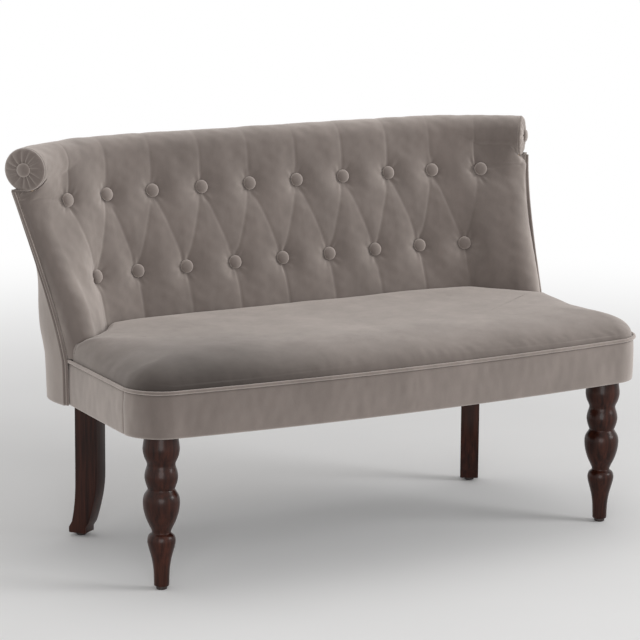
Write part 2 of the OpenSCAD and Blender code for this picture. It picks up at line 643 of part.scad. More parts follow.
// Piping round the top of the border
piping_sides = 10;
function piping_line(k) = let (a = 360 * k / piping_sides) [for (q = half_rim(piping_out + piping_r * cos(a), 10, 9, 1))
    [q.x, q.y, piping_z + piping_r * (1 - sin(a))]];
module seat_piping() {
    lines = [for (k = [0:piping_sides - 1]) piping_line(k)];
    half = [for (i = [0:len(lines[0]) - 1]) [for (line = lines) line[i]]];
    color(velvet_dark) loft(concat(
        [for (i = [len(half) - 1:-1:1]) [for (p = half[i]) mirrored(p)]], half));
}

// Border cloth round the seat frame, sewn from a front piece and two side pieces
module border_profile() { translate([-border_t, seat_base_z]) square([border_t, piping_z - fit - seat_base_z]); }
module border_front() {
    color(velvet) {
        sweep_bow() border_profile();
        for (s = [0, 1]) mirror([s, 0, 0]) sweep_corner() border_profile();
    }
}
module border_side(side) { color(velvet) on_side(side) sweep_side() border_profile(); }

// Dust cover under the frame, cut out round the legs
cover_t = 0.6;
module dust_cover() {
    half = concat(half_rim(-border_t - fit, 8, 8, 3),
        [for (q = backwards(arc_qs)) outer_pt(q, frame_z, frame_out)], [outer_pt(0, frame_z, frame_out)]);
    color(black_cloth) difference() {
        translate([0, 0, frame_z - fit - cover_t]) linear_extrude(cover_t)
            polygon([for (p = ring_of([for (q = half) [q.x, q.y, 0]])) [p.x, p.y]]);
        for (s = [-1, 1]) {
            translate([s * front_leg_x, front_leg_y, seat_base_z - cut_over])
                cylinder(r = leg_r * 0.88 + fit, h = 4 * border_t);
            translate([s * rear_top.x, rear_top.y, frame_z]) rotate([0, 0, -s * rear_leg_turn])
                cube([rear_leg_w + 2 * fit, rear_leg_d + 2 * fit, 2 * border_t], center = true);
        }
    }
}

// Back frame: a lower rib that lies on the seat frame, posts, and a rail inside the roll
roll_y = overall_d / 2 - roll_r;
roll_end_p = back_straight + back_bend_r * roll_turn * PI / 180;
module sweep_roll(turn = roll_turn) {
    translate([-back_straight, roll_y, 0]) rotate([90, 0, 90]) linear_extrude(2 * back_straight) children();
    for (s = [0, 1]) mirror([s, 0, 0]) translate([back_straight, roll_y - back_bend_r, 0])
        rotate([0, 0, 90 - turn]) rotate_extrude(angle = turn, $fn = 180)
            translate([back_bend_r, 0]) children();
}
rib_half = concat(
    [for (i = [0:6]) face_pt(split_p * i / 6, rail_top_z)],
    [for (c = [[1, post_w], [1, fit], [0, fit]]) edge_pt(rib_top_z, post_out - fit - post_t * c[0], post_front + c[1])],
    [for (q = backwards(arc_qs)) outer_pt(q, rail_top_z, frame_out)],
    [outer_pt(0, rail_top_z, frame_out)]);
module back_lower_rib() {
    color(timber) difference() {
        translate([0, 0, rail_top_z]) linear_extrude(rib_t)
            polygon([for (p = ring_of([for (q = rib_half) [q.x, q.y, 0]])) [p.x, p.y]]);
        back_bolt_cuts();
    }
}
module top_rail_profile(grow = 0) {
    translate([top_rail_front - grow, top_rail_z - grow]) square([top_rail_w + 2 * grow, top_rail_h + 2 * grow]);
}
module back_top_rail() { color(timber) sweep_roll() top_rail_profile(); }
post_half = 14;
bolt_side = 100;
bolt_x = back_straight - bolt_side;
far_post_x = back_straight - 2 * post_half;
near_post_x = bolt_x / 2;
module back_post(x) {
    rear_low = outer_pt(0, rib_top_z, frame_out).y;
    rear_high = outer_pt(0, top_rail_z, frame_out).y;
    color(timber) translate([x - post_half, 0, 0]) rotate([90, 0, 90]) linear_extrude(2 * post_half)
        polygon([[post_foot_y, rib_top_z], [rear_low, rib_top_z], [rear_high, top_rail_z],
            [face_y(top_rail_z), top_rail_z], [post_foot_y, kink_z]]);
}
post_rows = concat([rib_top_z], [for (z = pad_rows) if (z > rib_top_z && z < roll_foot_z) z], [roll_foot_z - 3 * fit]);
function post_bend(z) = pow(max(0, post_front + post_w - outer_run(z)), 2) / (2 * outer_r(z)) + 3 * fit;
module wing_post(side) {
    color(timber) loft_side([for (z = post_rows) [for (c = [[0, 0], [0, 1], [1, 1], [1, 0]])
        at_z(edge_pt(z, post_out - post_t * c[0] - (c[0] == 0 ? post_bend(z) * c[1] : 0),
            post_front + post_w * c[1]), z)]], side);
}
corner_q = [0.55, 0.64];
module corner_post(side) {
    color(timber) loft_side([for (z = post_rows) [for (c = [[0, 0], [1, 0], [1, 1], [0, 1]])
        at_z(outer_pt(corner_q[c[1]], z, frame_out - post_t * c[0]), z)]], side);
}

// Bolts up through the seat frame into nuts in the lower rib
bolt_r = 4;
bolt_head_r = 8;
bolt_head_h = 6;
rib_nut_r = 5.5;
rib_flange_r = 7;
bolt_in = 13;
bolt_short = 2;
back_bolt_places = concat([for (s = [-1, 1]) [s * bolt_x, post_foot_y + rib_flange_r]],
    [for (s = [-1, 1]) for (q = [0.62, 0.8]) let (p = outer_pt(q, frame_z, frame_out - bolt_in)) [s * p.x, p.y]]);
module back_bolts() {
    color(steel) for (p = back_bolt_places) translate([p.x, p.y, frame_z + fit]) {
        cylinder(r = bolt_head_r, h = bolt_head_h, $fn = 6);
        cylinder(r = bolt_r, h = rail_h + rib_t - bolt_short);
    }
}
module back_nuts() {
    color(steel) for (p = back_bolt_places) translate([p.x, p.y, rib_top_z]) difference() {
        union() {
            translate([0, 0, -leg_nut_h]) cylinder(r = rib_nut_r, h = leg_nut_h);
            translate([0, 0, -leg_flange_t]) cylinder(r = rib_flange_r, h = leg_flange_t);
        }
        translate([0, 0, -leg_nut_h - cut_over]) cylinder(r = bolt_r + fit / 3, h = leg_nut_h + 2 * cut_over);
    }
}
module back_bolt_cuts() {
    for (p = back_bolt_places) translate([p.x, p.y, 0]) {
        translate([0, 0, frame_z - cut_over]) cylinder(r = bolt_head_r + fit, h = bolt_head_h + cut_over + 2 * fit);
        translate([0, 0, frame_z]) cylinder(r = bolt_r + fit / 2, h = rail_h + rib_t);
        translate([0, 0, rib_top_z - leg_nut_h - fit]) cylinder(r = rib_nut_r + fit / 3, h = rib_t);
        translate([0, 0, rib_top_z - leg_flange_t]) cylinder(r = rib_flange_r + fit / 3, h = rib_t);
    }
}

// Webbing straps across the posts, and the hessian over them
strap_w = 50;
strap_in = 35;
strap_zs = [for (i = [0:2]) mix(kink_z + strap_in, top_rail_z - strap_in, i / 2)];
web_half = concat([back_straight], [for (j = [6 * columns:8 * columns]) j * half_pitch / columns]);
web_shares = concat([for (p = web_half) p / split_p * web_share], [1]);
web_stations = concat(backwards(web_shares), [0], [for (u = web_shares) -u]);
module strap(z) {
    loft([for (u = web_stations) [for (c = [[-strap_t, 0], [-strap_t, 0.5], [-strap_t, 1], [0, 1], [0, 0.5], [0, 0]])
        at_z(web_pt(u, z + strap_w * (c[1] - 0.5), c[0] - fit / 3), z + strap_w * (c[1] - 0.5))]], true);
}
module back_straps() { color(jute) for (z = strap_zs) strap(z); }
module back_hessian() {
    front = -strap_t - hessian_t - fit;
    rear = -strap_t - fit;
    zs = [rib_top_z + fit, kink_z, top_rail_z - fit];
    color(jute) loft([for (u = web_stations) if (abs(u) <= web_share) concat(
        [for (z = zs) at_z(web_pt(u, z, front), z)], [for (z = backwards(zs)) at_z(web_pt(u, z, rear), z)])], true);
}

// Stuffed roll along the top, with a slot for its rail and a pleat round it above each upper button
pleat_w = 9;
function pleat_notch(p) = [[-pleat_w / 2, roll_r], [0, roll_r - pleat_depth / 2], [pleat_w / 2, roll_r]];
straight_pleats = [for (k = [-9:2:9]) if (abs(k * half_pitch) < back_straight) k * half_pitch];
bent_pleats = [for (k = [1:2:9]) if (k * half_pitch > back_straight) k * half_pitch];
pleat_angle = 235;
module roll_slot() {
    translate([top_rail_front - fit, roll_z - roll_r - cut_over])
        square([top_rail_w + 2 * fit, top_rail_z + top_rail_h + fit - roll_z + roll_r + cut_over]);
}
module roll_middle() {
    difference() {
        translate([0, roll_y, roll_z]) rotate([0, 90, 0]) rotate_extrude() polygon(concat(
            [[0, -back_straight], [roll_r, -back_straight]],
            [for (p = straight_pleats) for (n = pleat_notch(p)) [n.y, p + n.x]],
            [[roll_r, back_straight], [0, back_straight]]));
        translate([-back_straight - cut_over, roll_y, 0]) rotate([90, 0, 90])
            linear_extrude(2 * (back_straight + cut_over)) roll_slot();
    }
}
module roll_bend() {
    difference() {
        translate([back_straight, roll_y - back_bend_r, 0]) rotate([0, 0, 90 - roll_turn])
            rotate_extrude(angle = roll_turn, $fn = 180) translate([back_bend_r, 0]) difference() {
                translate([0, roll_z]) circle(r = roll_r);
                roll_slot();
            }
        for (p = bent_pleats) bent_pleat(p);
    }
}
module top_roll() {
    color(velvet) {
        roll_middle();
        for (side = [-1, 1]) on_side(side) roll_bend();
    }
}
module bent_pleat(p) {
    at = bent(p, roll_y, 0);
    translate([at.x, at.y, roll_z]) rotate([0, 0, -bend_at(p)]) rotate([0, 90, 0])
        rotate([0, 0, 180 - pleat_angle / 2]) rotate_extrude(angle = pleat_angle)
            polygon([[roll_r + cut_over, -pleat_w * 0.7], [roll_r - pleat_depth / 2, 0],
                [roll_r + cut_over, pleat_w * 0.7]]);
}

// Round ends of the roll, pleated in to a covered button
face_t = 9;
face_dip = 1.6;
face_pleats = 12;
face_split = 4;
face_points = face_pleats * face_split;
// Each ring of the face: its share of the radius, of the thickness and of the pleat's depth
face_profile_shares = [[1, 0, 0], [1, 0.35, 0.3], [0.94, 0.65, 0.8], [0.8, 0.9, 1], [0.6, 1, 1], [0.28, 1, 0]];
module at_roll_end(side) {
    at = bent(roll_end_p, roll_y, 0);
    on_side(side) translate([at.x, at.y, roll_z]) rotate([0, 0, -roll_turn])
        rotate([0, 90, 0]) translate([0, 0, fit]) children();
}
module scroll_face(side) {
    color(velvet) at_roll_end(side) loft([for (c = face_profile_shares) [for (k = [0:face_points - 1])
        let (a = 360 * k / face_points, r = c[0] * (roll_r - fit), dip = k % face_split == 0 ? face_dip * c[2] : 0)
        [r * cos(a), r * sin(a), face_t * c[1] - dip]]]);
}
module scroll_buttons() {
    color(velvet_dark) for (s = [-1, 1]) at_roll_end(s) translate([0, 0, face_t + fit]) button();
}

// Covered buttons
button_h = 7.6;
button_profile_shares = [[0, 0], [0.93, 0], [1, 0.13], [1, 0.33], [0.92, 0.58], [0.75, 0.78], [0.5, 0.91],
    [0.25, 0.975], [0, 1]];
button_seat = 0.62;
module button() {
    rotate_extrude() polygon([for (s = button_profile_shares) [s[0] * button_d / 2, s[1] * button_h]]);
}
module facing(p, angle, z) {
    translate([p.x, p.y, z]) rotate([0, 0, angle]) rotate([90 - back_rake, 0, 0]) children();
}
module tuft_button(p, z) {
    facing(crest_pt(p, z, tuft_depth * button_seat), -sign(p) * bend_at(abs(p)), z) button();
}
module wing_button(side) {
    z = upper_row_z;
    d = norm(nose_pt(tangent_angle(z), z) - crest_pt(split_p, z));
    at = wing_flat(half_pitch / d, z) + [sin(tangent_angle(z)), -cos(tangent_angle(z))] * tuft_depth * (1 - button_seat);
    facing([side * at.x, at.y], side * tangent_angle(z), z) button();
}
module upper_buttons() {
    color(velvet_dark) {
        for (k = [-7:2:7]) tuft_button(k * half_pitch, upper_row_z);
        for (s = [-1, 1]) wing_button(s);
    }
}
module lower_buttons() { color(velvet_dark) for (k = [-8:2:8]) tuft_button(k * half_pitch, lower_row_z); }

// Piping down the wing edges, between the padded front and the outer cover
wing_piping_r = 3;
wing_piping_out = 3.4;
wing_piping_front = -3.4;
function ring_at(c, r, n, z) = [for (i = [0:n - 1]) [c.x + r * cos(360 * i / n), c.y + r * sin(360 * i / n), z]];
module wing_piping(side) {
    color(velvet_dark) loft_side([for (t = steps(14)) let (z = mix(seat_base_z, top_rail_z - 2 * fit, t))
        ring_at(edge_pt(z, wing_piping_out, wing_piping_front), wing_piping_r, 8, z)], side);
}

// Board and cloth of the plain outer back, wrapped round from one wing edge to the other
outer_qs = concat([0, 0.2], arc_qs, [1]);
outer_stations = concat(backwards(outer_qs), [for (q = outer_qs) if (q > 0) -q]);
outer_zs = [for (i = [0:8]) mix(rail_top_z, edge_high_z, i / 8)];
function outer_at(q, z, out) = let (p = outer_pt(abs(q), z, out)) [q < 0 ? -p.x : p.x, p.y, z];
module outer_sheet(low_z, high_z, face, back) {
    zs = concat([low_z], outer_zs, [high_z]);
    loft([for (q = outer_stations) concat([for (z = zs) outer_at(q, z, back)],
        [for (z = backwards(zs)) outer_at(q, z, face)])], true);
}
module back_board() { color(hardboard) outer_sheet(frame_z, roll_foot_z, -skin_t, -skin_t - board_t); }
module outer_cover() { color(velvet) outer_sheet(seat_base_z, top_rail_z, 0, -skin_t + 3 * fit); }

turned_leg(-1);  // front_leg_left
turned_leg(1);  // front_leg_right
sabre_leg(-1);  // rear_leg_left
sabre_leg(1);  // rear_leg_right
glide(-front_leg_x, front_leg_y);  // front_glide_left
glide(front_leg_x, front_leg_y);  // front_glide_right
glide(-rear_foot_x, rear_foot_y);  // rear_glide_left
glide(rear_foot_x, rear_foot_y);  // rear_glide_right
leg_bolts();
leg_nuts();
front_rail();
rear_rail();
centre_rail();
side_rail(-1);  // side_rail_left
side_rail(1);  // side_rail_right
front_block(-1);  // front_block_left
front_block(1);  // front_block_right
rear_block(-1);  // rear_block_left
rear_block(1);  // rear_block_right
frame_dowels();
seat_springs();
spring_clips();
seat_hessian();
seat_pad();
seat_piping();
border_front();
border_side(-1);  // border_left
border_side(1);  // border_right
dust_cover();
back_lower_rib();
back_top_rail();
back_post(-far_post_x);  // back_post_far_left
back_post(-near_post_x);  // back_post_near_left
back_post(near_post_x);  // back_post_near_right
back_post(far_post_x);  // back_post_far_right
corner_post(-1);  // corner_post_left
corner_post(1);  // corner_post_right
wing_post(-1);  // wing_post_left
wing_post(1);  // wing_post_right
back_bolts();
back_nuts();
back_straps();
back_hessian();
back_pad();
top_roll();
wing_pad(-1);  // wing_pad_left
wing_pad(1);  // wing_pad_right
scroll_face(-1);  // scroll_face_left
scroll_face(1);  // scroll_face_right
wing_piping(-1);  // wing_piping_left
wing_piping(1);  // wing_piping_right
upper_buttons();
lower_buttons();
scroll_buttons();
back_board();
outer_cover();
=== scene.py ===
"""Looks of a two-seat high back settee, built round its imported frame."""

import math

import bpy
import numpy as np
from mathutils import Matrix, Vector


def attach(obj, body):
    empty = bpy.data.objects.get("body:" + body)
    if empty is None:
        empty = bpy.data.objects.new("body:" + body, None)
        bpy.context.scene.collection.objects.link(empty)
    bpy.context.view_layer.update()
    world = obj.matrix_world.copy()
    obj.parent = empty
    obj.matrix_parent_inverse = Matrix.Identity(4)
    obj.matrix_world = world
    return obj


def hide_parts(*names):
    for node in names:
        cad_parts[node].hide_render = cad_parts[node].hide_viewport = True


bl_info = {
    "name": "High back settee",
    "version": (1, 0, 0),
    "blender": (4, 5, 0),
    "location": "View3D > Sidebar > Settee",
    "description": "Upholstery, legs and materials of a buttoned two-seat settee",
    "category": "Object",
}

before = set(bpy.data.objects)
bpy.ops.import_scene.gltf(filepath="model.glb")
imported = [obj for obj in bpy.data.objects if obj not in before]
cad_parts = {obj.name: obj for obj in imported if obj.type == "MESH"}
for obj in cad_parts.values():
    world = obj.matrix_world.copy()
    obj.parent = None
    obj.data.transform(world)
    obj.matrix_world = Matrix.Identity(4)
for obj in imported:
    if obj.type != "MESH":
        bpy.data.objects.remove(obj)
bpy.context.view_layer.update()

MM = 0.001
SEW = 1e-6

# Frame sizes that the upholstery follows, in millimetres
SEAT_BASE_Z = 276.0
DECK_Z = 352.0
PIPING_Z = 352.0
SEAT_HALF_W = 529.0
SEAT_BOW = 30.0
CORNER_R = 70.0
SIDE_TAPER = 20.0
FRONT_Y = -296.5
WING_FOOT_Y = 51.0
REAR_MEET_Z = 399.0
BACK_STRAIGHT = 290.0
BACK_BEND_R = 367.0
ROLL_R = 39.0
ROLL_Y = 262.0
ROLL_Z = 686.0
ROLL_TURN = math.radians(42.0)
ROLL_END_P = BACK_STRAIGHT + BACK_BEND_R * ROLL_TURN
PAD_T = 36.0
FACE_LOWER_Y = 204.0
POST_FOOT_Y = 196.0
HALF_PITCH = 51.5
SPLIT_P = 8 * HALF_PITCH
UPPER_Z = 624.0
LOWER_Z = 483.0
BUTTON_R = 12.5
BUTTON_H = 7.6
NOSE_R = 33.0
EDGE_HIGH_Z = 620.0
EDGE_GAP = 9.0
EDGE_FOOT = (510.0, 54.0)
EDGE_TOP_Y = 172.03
EDGE_START_Z = 355.0
EDGE_END_Z = 645.0
EDGE_EASE = 0.2
OUTER_FOOT_Y = 216.0
POST_OUT = 2.2
POST_FRONT = 10.0
POST_T = 24.0
POST_W = 34.0
PAD_BACK = 3.1
RAKE = 54.8 / (ROLL_Z - LOWER_Z)
OUTER_RAKE = 64.2 / (ROLL_Z - SEAT_BASE_Z)
EDGE_FLARE = BACK_STRAIGHT + BACK_BEND_R * math.sin(ROLL_TURN) + 10.4 - EDGE_FOOT[0]
CLEAR = 0.3

# Turns of the wing's outer face and of its seam, in degrees at the foot and at the top
WING_TURN = (95.0, 46.0)
WING_TURN_Z = 390.0
WING_TURN_RISE = 240.0
SEAM_TURN = (88.0, 58.0)
SEAM_FROM_Z = 420.0
SEAM_RISE = 170.0

# Shares of the outer face where its bend begins and ends, and its flat run at the foot and at the top
BEND_Q = 0.4
TAIL_Q = 0.9
OUTER_RUN = (24.0, 2.0)

# Turns points of the right half into those of the left
LEFT = np.array([-1, 1, 1])


# Small helpers on numbers and arrays
def mix(a, b, t):
    return a + (b - a) * t


def smooth(t):
    t = np.clip(t, 0.0, 1.0)
    return t * t * (3 - 2 * t)


def stack(*parts):
    return np.stack(np.broadcast_arrays(*[np.asarray(p, float) for p in parts]), axis=-1)


def unit(v):
    return v / np.maximum(np.linalg.norm(v, axis=-1, keepdims=True), 1e-9)


def with_z(plan, z):
    """Points of a plan, each given its height."""
    return stack(plan[..., 0], plan[..., 1], z)


def even_shares(*counts):
    """Shares from 0 up to the number of counts, with so many steps in each whole share."""
    parts = [np.linspace(i, i + 1, n)[min(i, 1):] for i, n in enumerate(counts)]
    return np.concatenate(parts)


def run_of(points):
    """Length along a line of points, up to each of them."""
    return np.concatenate([[0], np.cumsum(np.linalg.norm(np.diff(points, axis=0), axis=1))])


# Plan of the back: straight in the middle, then a bend on each side
def bend_at(p):
    return np.maximum(0.0, np.abs(p) - BACK_STRAIGHT) / BACK_BEND_R


def bent(p, y, out):
    a = bend_at(p)
    r = BACK_BEND_R + out
    x = np.sign(p) * (np.minimum(np.abs(p), BACK_STRAIGHT) + r * np.sin(a))
    return stack(x, y - BACK_BEND_R + r * np.cos(a))


def crest_y(z):
    return FACE_LOWER_Y - PAD_T + RAKE * (z - LOWER_Z)


def crest_pt(p, z):
    return bent(p, crest_y(z) + PAD_T, -PAD_T)


def face_pt(p, z, out):
    return bent(p, np.maximum(POST_FOOT_Y, FACE_LOWER_Y + RAKE * (z - LOWER_Z)), out)


# Wing edge, on the right; the left is its mirror image
def wing_t(z):
    """Share of a wing's turn at a height, eased at both ends."""
    return smooth((z - WING_TURN_Z) / WING_TURN_RISE)


def wing_turn(z):
    """Direction that a wing's outer face has turned to at a height; at 90 degrees it runs to the front."""
    return np.radians(mix(*WING_TURN, wing_t(z)))


def edge_pt(z, out=0.0, rear=0.0):
    """Point of the wing's front edge, moved outward and rearward by so much."""
    z = np.asarray(z, float)
    rise = np.maximum((z - SEAT_BASE_Z) / (EDGE_HIGH_Z - SEAT_BASE_Z), 0)
    x = EDGE_FOOT[0] + EDGE_FLARE * rise ** 2
    t = np.clip((z - EDGE_START_Z) / (EDGE_END_Z - EDGE_START_Z), 0, 1)
    y = mix(EDGE_FOOT[1], EDGE_TOP_Y, mix(t, smooth(t), EDGE_EASE))
    turn = wing_turn(z)
    return stack(x + np.sin(turn) * out - np.cos(turn) * rear,
                 y + np.cos(turn) * out + np.sin(turn) * rear)


def facing(angle):
    """Direction in plan that points outward at an angle measured from straight to the front."""
    return stack(np.sin(angle), -np.cos(angle))


def seam_angle(z):
    """Where the padded nose of a wing ends in its seam."""
    return np.radians(mix(*SEAM_TURN, smooth((z - SEAM_FROM_Z) / SEAM_RISE)))


def nose_centre(z):
    return edge_pt(z) - NOSE_R * facing(seam_angle(z))


def tangent_angle(z):
    """Where the flat of a wing meets its padded nose."""
    v = crest_pt(np.full_like(z, SPLIT_P), z) - nose_centre(z)
    d = np.linalg.norm(v, axis=-1)
    return -np.arccos(np.clip(-v[..., 1] / d, -1, 1)) + np.arccos(np.minimum(1, NOSE_R / d))


def nose_pt(b, z):
    return nose_centre(z) + NOSE_R * facing(b)


def outer_pt(q, z, out):
    """Point of the outer face at share q: straight, round the bend, then flat to the wing's edge."""
    turn = wing_turn(z)
    run = mix(*OUTER_RUN, wing_t(z))
    end = edge_pt(z, EDGE_GAP)
    y = OUTER_FOOT_Y + OUTER_RAKE * (z - SEAT_BASE_Z)
    r = (y - end[..., 1] - run * np.sin(turn)) / (1 - np.cos(turn))
    straight = end[..., 0] - r * np.sin(turn) - run * np.cos(turn)
    a = turn * np.clip((q - BEND_Q) / (TAIL_Q - BEND_Q), 0, 1)
    flat = np.minimum(q / BEND_Q, 1.0) * straight
    tail = np.clip((q - TAIL_Q) / (1 - TAIL_Q), 0, 1) * run
    x = flat + (r + out) * np.sin(a) + np.cos(turn) * tail
    return stack(x, y - r + (r + out) * np.cos(a) - np.sin(turn) * tail)


# Plan of the seat's rim
CORNER_X = SEAT_HALF_W - CORNER_R
BOW_R = (SEAT_HALF_W ** 2 + SEAT_BOW ** 2) / (2 * SEAT_BOW)
BOW_Y = FRONT_Y + BOW_R
BOW_ANGLE = math.asin(CORNER_X / (BOW_R - CORNER_R))
CORNER_Y = BOW_Y - (BOW_R - CORNER_R) * math.cos(BOW_ANGLE)
SIDE_ANGLE = math.atan(SIDE_TAPER / (WING_FOOT_Y - CORNER_Y))
SIDE_LEN = (WING_FOOT_Y - CORNER_Y) / math.cos(SIDE_ANGLE)


def rim_pt(s, out):
    """Point of the right half of the rim, s from 0 at the middle of the front to 3 at its rear end."""
    s = np.asarray(s, float)
    a = mix(0.0, BOW_ANGLE, np.clip(s, 0, 1))
    bow = stack((BOW_R + out) * np.sin(a), BOW_Y - (BOW_R + out) * np.cos(a))
    c = mix(BOW_ANGLE, math.pi / 2 + SIDE_ANGLE, np.clip(s - 1, 0, 1))
    corner = stack(CORNER_X + (CORNER_R + out) * np.sin(c), CORNER_Y - (CORNER_R + out) * np.cos(c))
    d = SIDE_LEN * np.clip(s - 2, 0, None)
    side = corner + stack(-math.sin(SIDE_ANGLE) * d, math.cos(SIDE_ANGLE) * d)
    return np.where((s < 1)[..., None], bow, side)


# Sizes and colours that a user would change
def length_setting(name, description, default, low, high):
    return bpy.props.FloatProperty(
        name=name, description=description, default=default, min=low, max=high, unit="LENGTH")


def colour_setting(name, description, default):
    return bpy.props.FloatVectorProperty(
        name=name, description=description, default=default, min=0.0, max=1.0, size=3, subtype="COLOR")


def factor_setting(name, description, default):
    return bpy.props.FloatProperty(
        name=name, description=description, default=default, min=0.0, max=1.0, subtype="FACTOR")


class SetteeTufting(bpy.types.PropertyGroup):
    dimple_depth: length_setting("Dimple depth", "Depth that a button draws the cloth in", 0.017, 0.0, 0.02)
    dimple_radius: length_setting("Dimple radius", "Reach of the dimple round a button", 0.023, 0.012, 0.03)
    pleat_depth: length_setting("Pleat depth", "Depth of the pleats between the buttons", 0.0020, 0.0, 0.008)
    pillow: length_setting("Pillow", "How far the pad swells between its pleats", 0.0016, 0.0, 0.009)


class SetteeSeat(bpy.types.PropertyGroup):
    crown: length_setting("Crown", "Rise of the seat above its piping", 0.05, 0.03, 0.06)
    piping_radius: length_setting(
        "Piping radius", "Radius of the piping cord round the seat", 0.0033, 0.002, 0.004)


class SetteeCloth(bpy.types.PropertyGroup):
    velvet: colour_setting("Velvet", "Colour of the pile seen at a middle angle", (0.292, 0.254, 0.232))
    velvet_deep: colour_setting(
        "Velvet, deep", "Colour looking straight down into the pile", (0.152, 0.127, 0.115))
    # painted sheen: the pale colour that the velvet takes along the cloth
    velvet_painted_sheen: colour_setting(
        "Velvet, nap", "Colour of the pile's tips seen along the cloth", (0.52, 0.462, 0.43))
    sheen: factor_setting("Sheen", "Strength of the pile's sheen", 0.35)


class SetteeWood(bpy.types.PropertyGroup):
    leg_dark: colour_setting(
        "Leg, dark grain", "Darkest colour of the stained legs", (0.012, 0.0032, 0.0018))
    leg_light: colour_setting(
        "Leg, light grain", "Lightest colour of the stained legs", (0.045, 0.0130, 0.0075))
    polish: factor_setting("Polish", "Strength of the clear coat on the legs", 0.12)


class SetteeStage(bpy.types.PropertyGroup):
    floor: colour_setting("Floor", "Colour of the floor under the settee", (0.86, 0.86, 0.86))
    key_power: bpy.props.FloatProperty(
        name="Key light", description="Power of the main soft light", default=60.0, min=0.0, unit="POWER")


# Finishes
def put(tree, value, socket):
    """Links an output to a socket, or gives the socket a number, a colour or a vector."""
    if isinstance(value, bpy.types.NodeSocket):
        tree.links.new(value, socket)
    elif socket.type == "RGBA":
        socket.default_value = (*value, 1.0)
    else:
        socket.default_value = value


def put_all(tree, node, values):
    for key, value in values.items():
        put(tree, value, node.inputs[key])


def new_node(tree, kind, values=None, **settings):
    """A shader node with its settings, and with the values of its inputs by name or number."""
    node = tree.nodes.new("ShaderNode" + kind)
    for key, value in settings.items():
        setattr(node, key, value)
    put_all(tree, node, values or {})
    return node


def new_finish(name):
    """A material with a Principled shader, and its object coordinates."""
    mat = bpy.data.materials.new(name)
    mat.use_nodes = True
    tree = mat.node_tree
    tree.nodes.clear()
    shader = new_node(tree, "BsdfPrincipled")
    new_node(tree, "OutputMaterial", {"Surface": shader.outputs["BSDF"]})
    return mat, tree, shader, new_node(tree, "TexCoord").outputs["Object"]


def stretched(tree, coords, scale):
    return new_node(tree, "Mapping", {"Vector": coords, "Scale": scale}).outputs["Vector"]


def noise(tree, coords, scale, detail=4.0, rough=0.55):
    values = {"Vector": coords, "Scale": scale, "Detail": detail, "Roughness": rough}
    return new_node(tree, "TexNoise", values).outputs["Fac"]


def bands(tree, coords, scale, direction, distortion=0.0):
    values = {"Vector": coords, "Scale": scale, "Distortion": distortion}
    return new_node(tree, "TexWave", values, bands_direction=direction).outputs["Fac"]


def ramp(tree, value, *stops):
    node = new_node(tree, "ValToRGB", {"Fac": value})
    elements = node.color_ramp.elements
    while len(elements) < len(stops):
        elements.new(0.5)
    for element, (place, shade) in zip(elements, stops):
        element.position = place
        element.color = (*shade, 1.0)
    return node.outputs["Color"]


def blend(tree, share, a, b, mode="MIX"):
    """Mixes two colours."""
    node = new_node(tree, "Mix", data_type="RGBA", blend_type=mode)
    put(tree, share, node.inputs[0])
    for value, socket in zip((a, b), [i for i in node.inputs if i.type == "RGBA"]):
        put(tree, value, socket)
    return [o for o in node.outputs if o.type == "RGBA"][0]


def toned(tree, base, pattern, low, high):
    """Multiplies a colour by a grey that a pattern takes from low to high."""
    grey = ramp(tree, pattern, (0.3, (low,) * 3), (0.7, (high,) * 3))
    return blend(tree, 1.0, base, grey, "MULTIPLY")


def bump(tree, shader, height, strength, distance, under=None):
    values = {"Strength": strength, "Distance": distance, "Height": height}
    if under is not None:
        values["Normal"] = under
    normal = new_node(tree, "Bump", values).outputs["Normal"]
    put(tree, normal, shader.inputs["Normal"])
    return normal


def add_painted_shade(tree, coords, base, place, reach, shade):
    """A patch of painted shade multiplied into the colour, darkest at its place and gone at its reach."""
    gap = new_node(tree, "VectorMath", {0: coords, 1: place}, operation="DISTANCE")
    values = {"Value": gap.outputs["Value"], "From Max": reach, "To Min": shade}
    fade = new_node(tree, "MapRange", values, interpolation_type="SMOOTHSTEP")
    return blend(tree, 1.0, base, fade.outputs["Result"], "MULTIPLY")


def velvet_finish(name, shade, shade_patch=None):
    """Short cut pile with a painted sheen, deep face on and pale along the cloth, with brushed patches and
    single tufts of pile.
    """
    cloth = bpy.context.scene.settee_cloth
    mat, tree, shader, coords = new_finish(name)
    facing_away = new_node(tree, "LayerWeight", {"Blend": 0.5}).outputs["Facing"]
    # shade scales all the colours of this copy: painted shade on the seat, a painted highlight on the trim
    deep, middle, painted_sheen = [tuple(shade * v for v in pile_colour)
                         for pile_colour in (cloth.velvet_deep, cloth.velvet, cloth.velvet_painted_sheen)]
    patches = noise(tree, stretched(tree, coords, (1.0, 1.0, 0.55)), 9.0, 3.0, 0.6)
    brushed = noise(tree, stretched(tree, coords, (1.0, 1.0, 0.35)), 55.0, 4.0, 0.6)
    pile = noise(tree, coords, 1500.0, 2.0, 0.6)
    # painted sheen: Layer Weight facing takes the colour from deep face on to pale along the cloth
    base = ramp(tree, facing_away, (0.05, deep), (0.42, middle), (0.95, painted_sheen))
    base = toned(tree, base, patches, 0.90, 1.10)
    base = toned(tree, base, brushed, 0.94, 1.06)
    base = toned(tree, base, pile, 0.90, 1.10)
    # painted shade: a patch that darkens the colour, used on the seat only
    if shade_patch:
        base = add_painted_shade(tree, coords, base, *shade_patch)
    put_all(tree, shader, {
        "Base Color": base, "Roughness": 0.88, "Specular IOR Level": 0.15, "Sheen Weight": cloth.sheen,
        "Sheen Roughness": 0.42, "Sheen Tint": (0.86, 0.80, 0.76)})
    under = bump(tree, shader, brushed, 0.25, 0.0006)
    bump(tree, shader, pile, 0.5, 0.00035, under)
    return mat


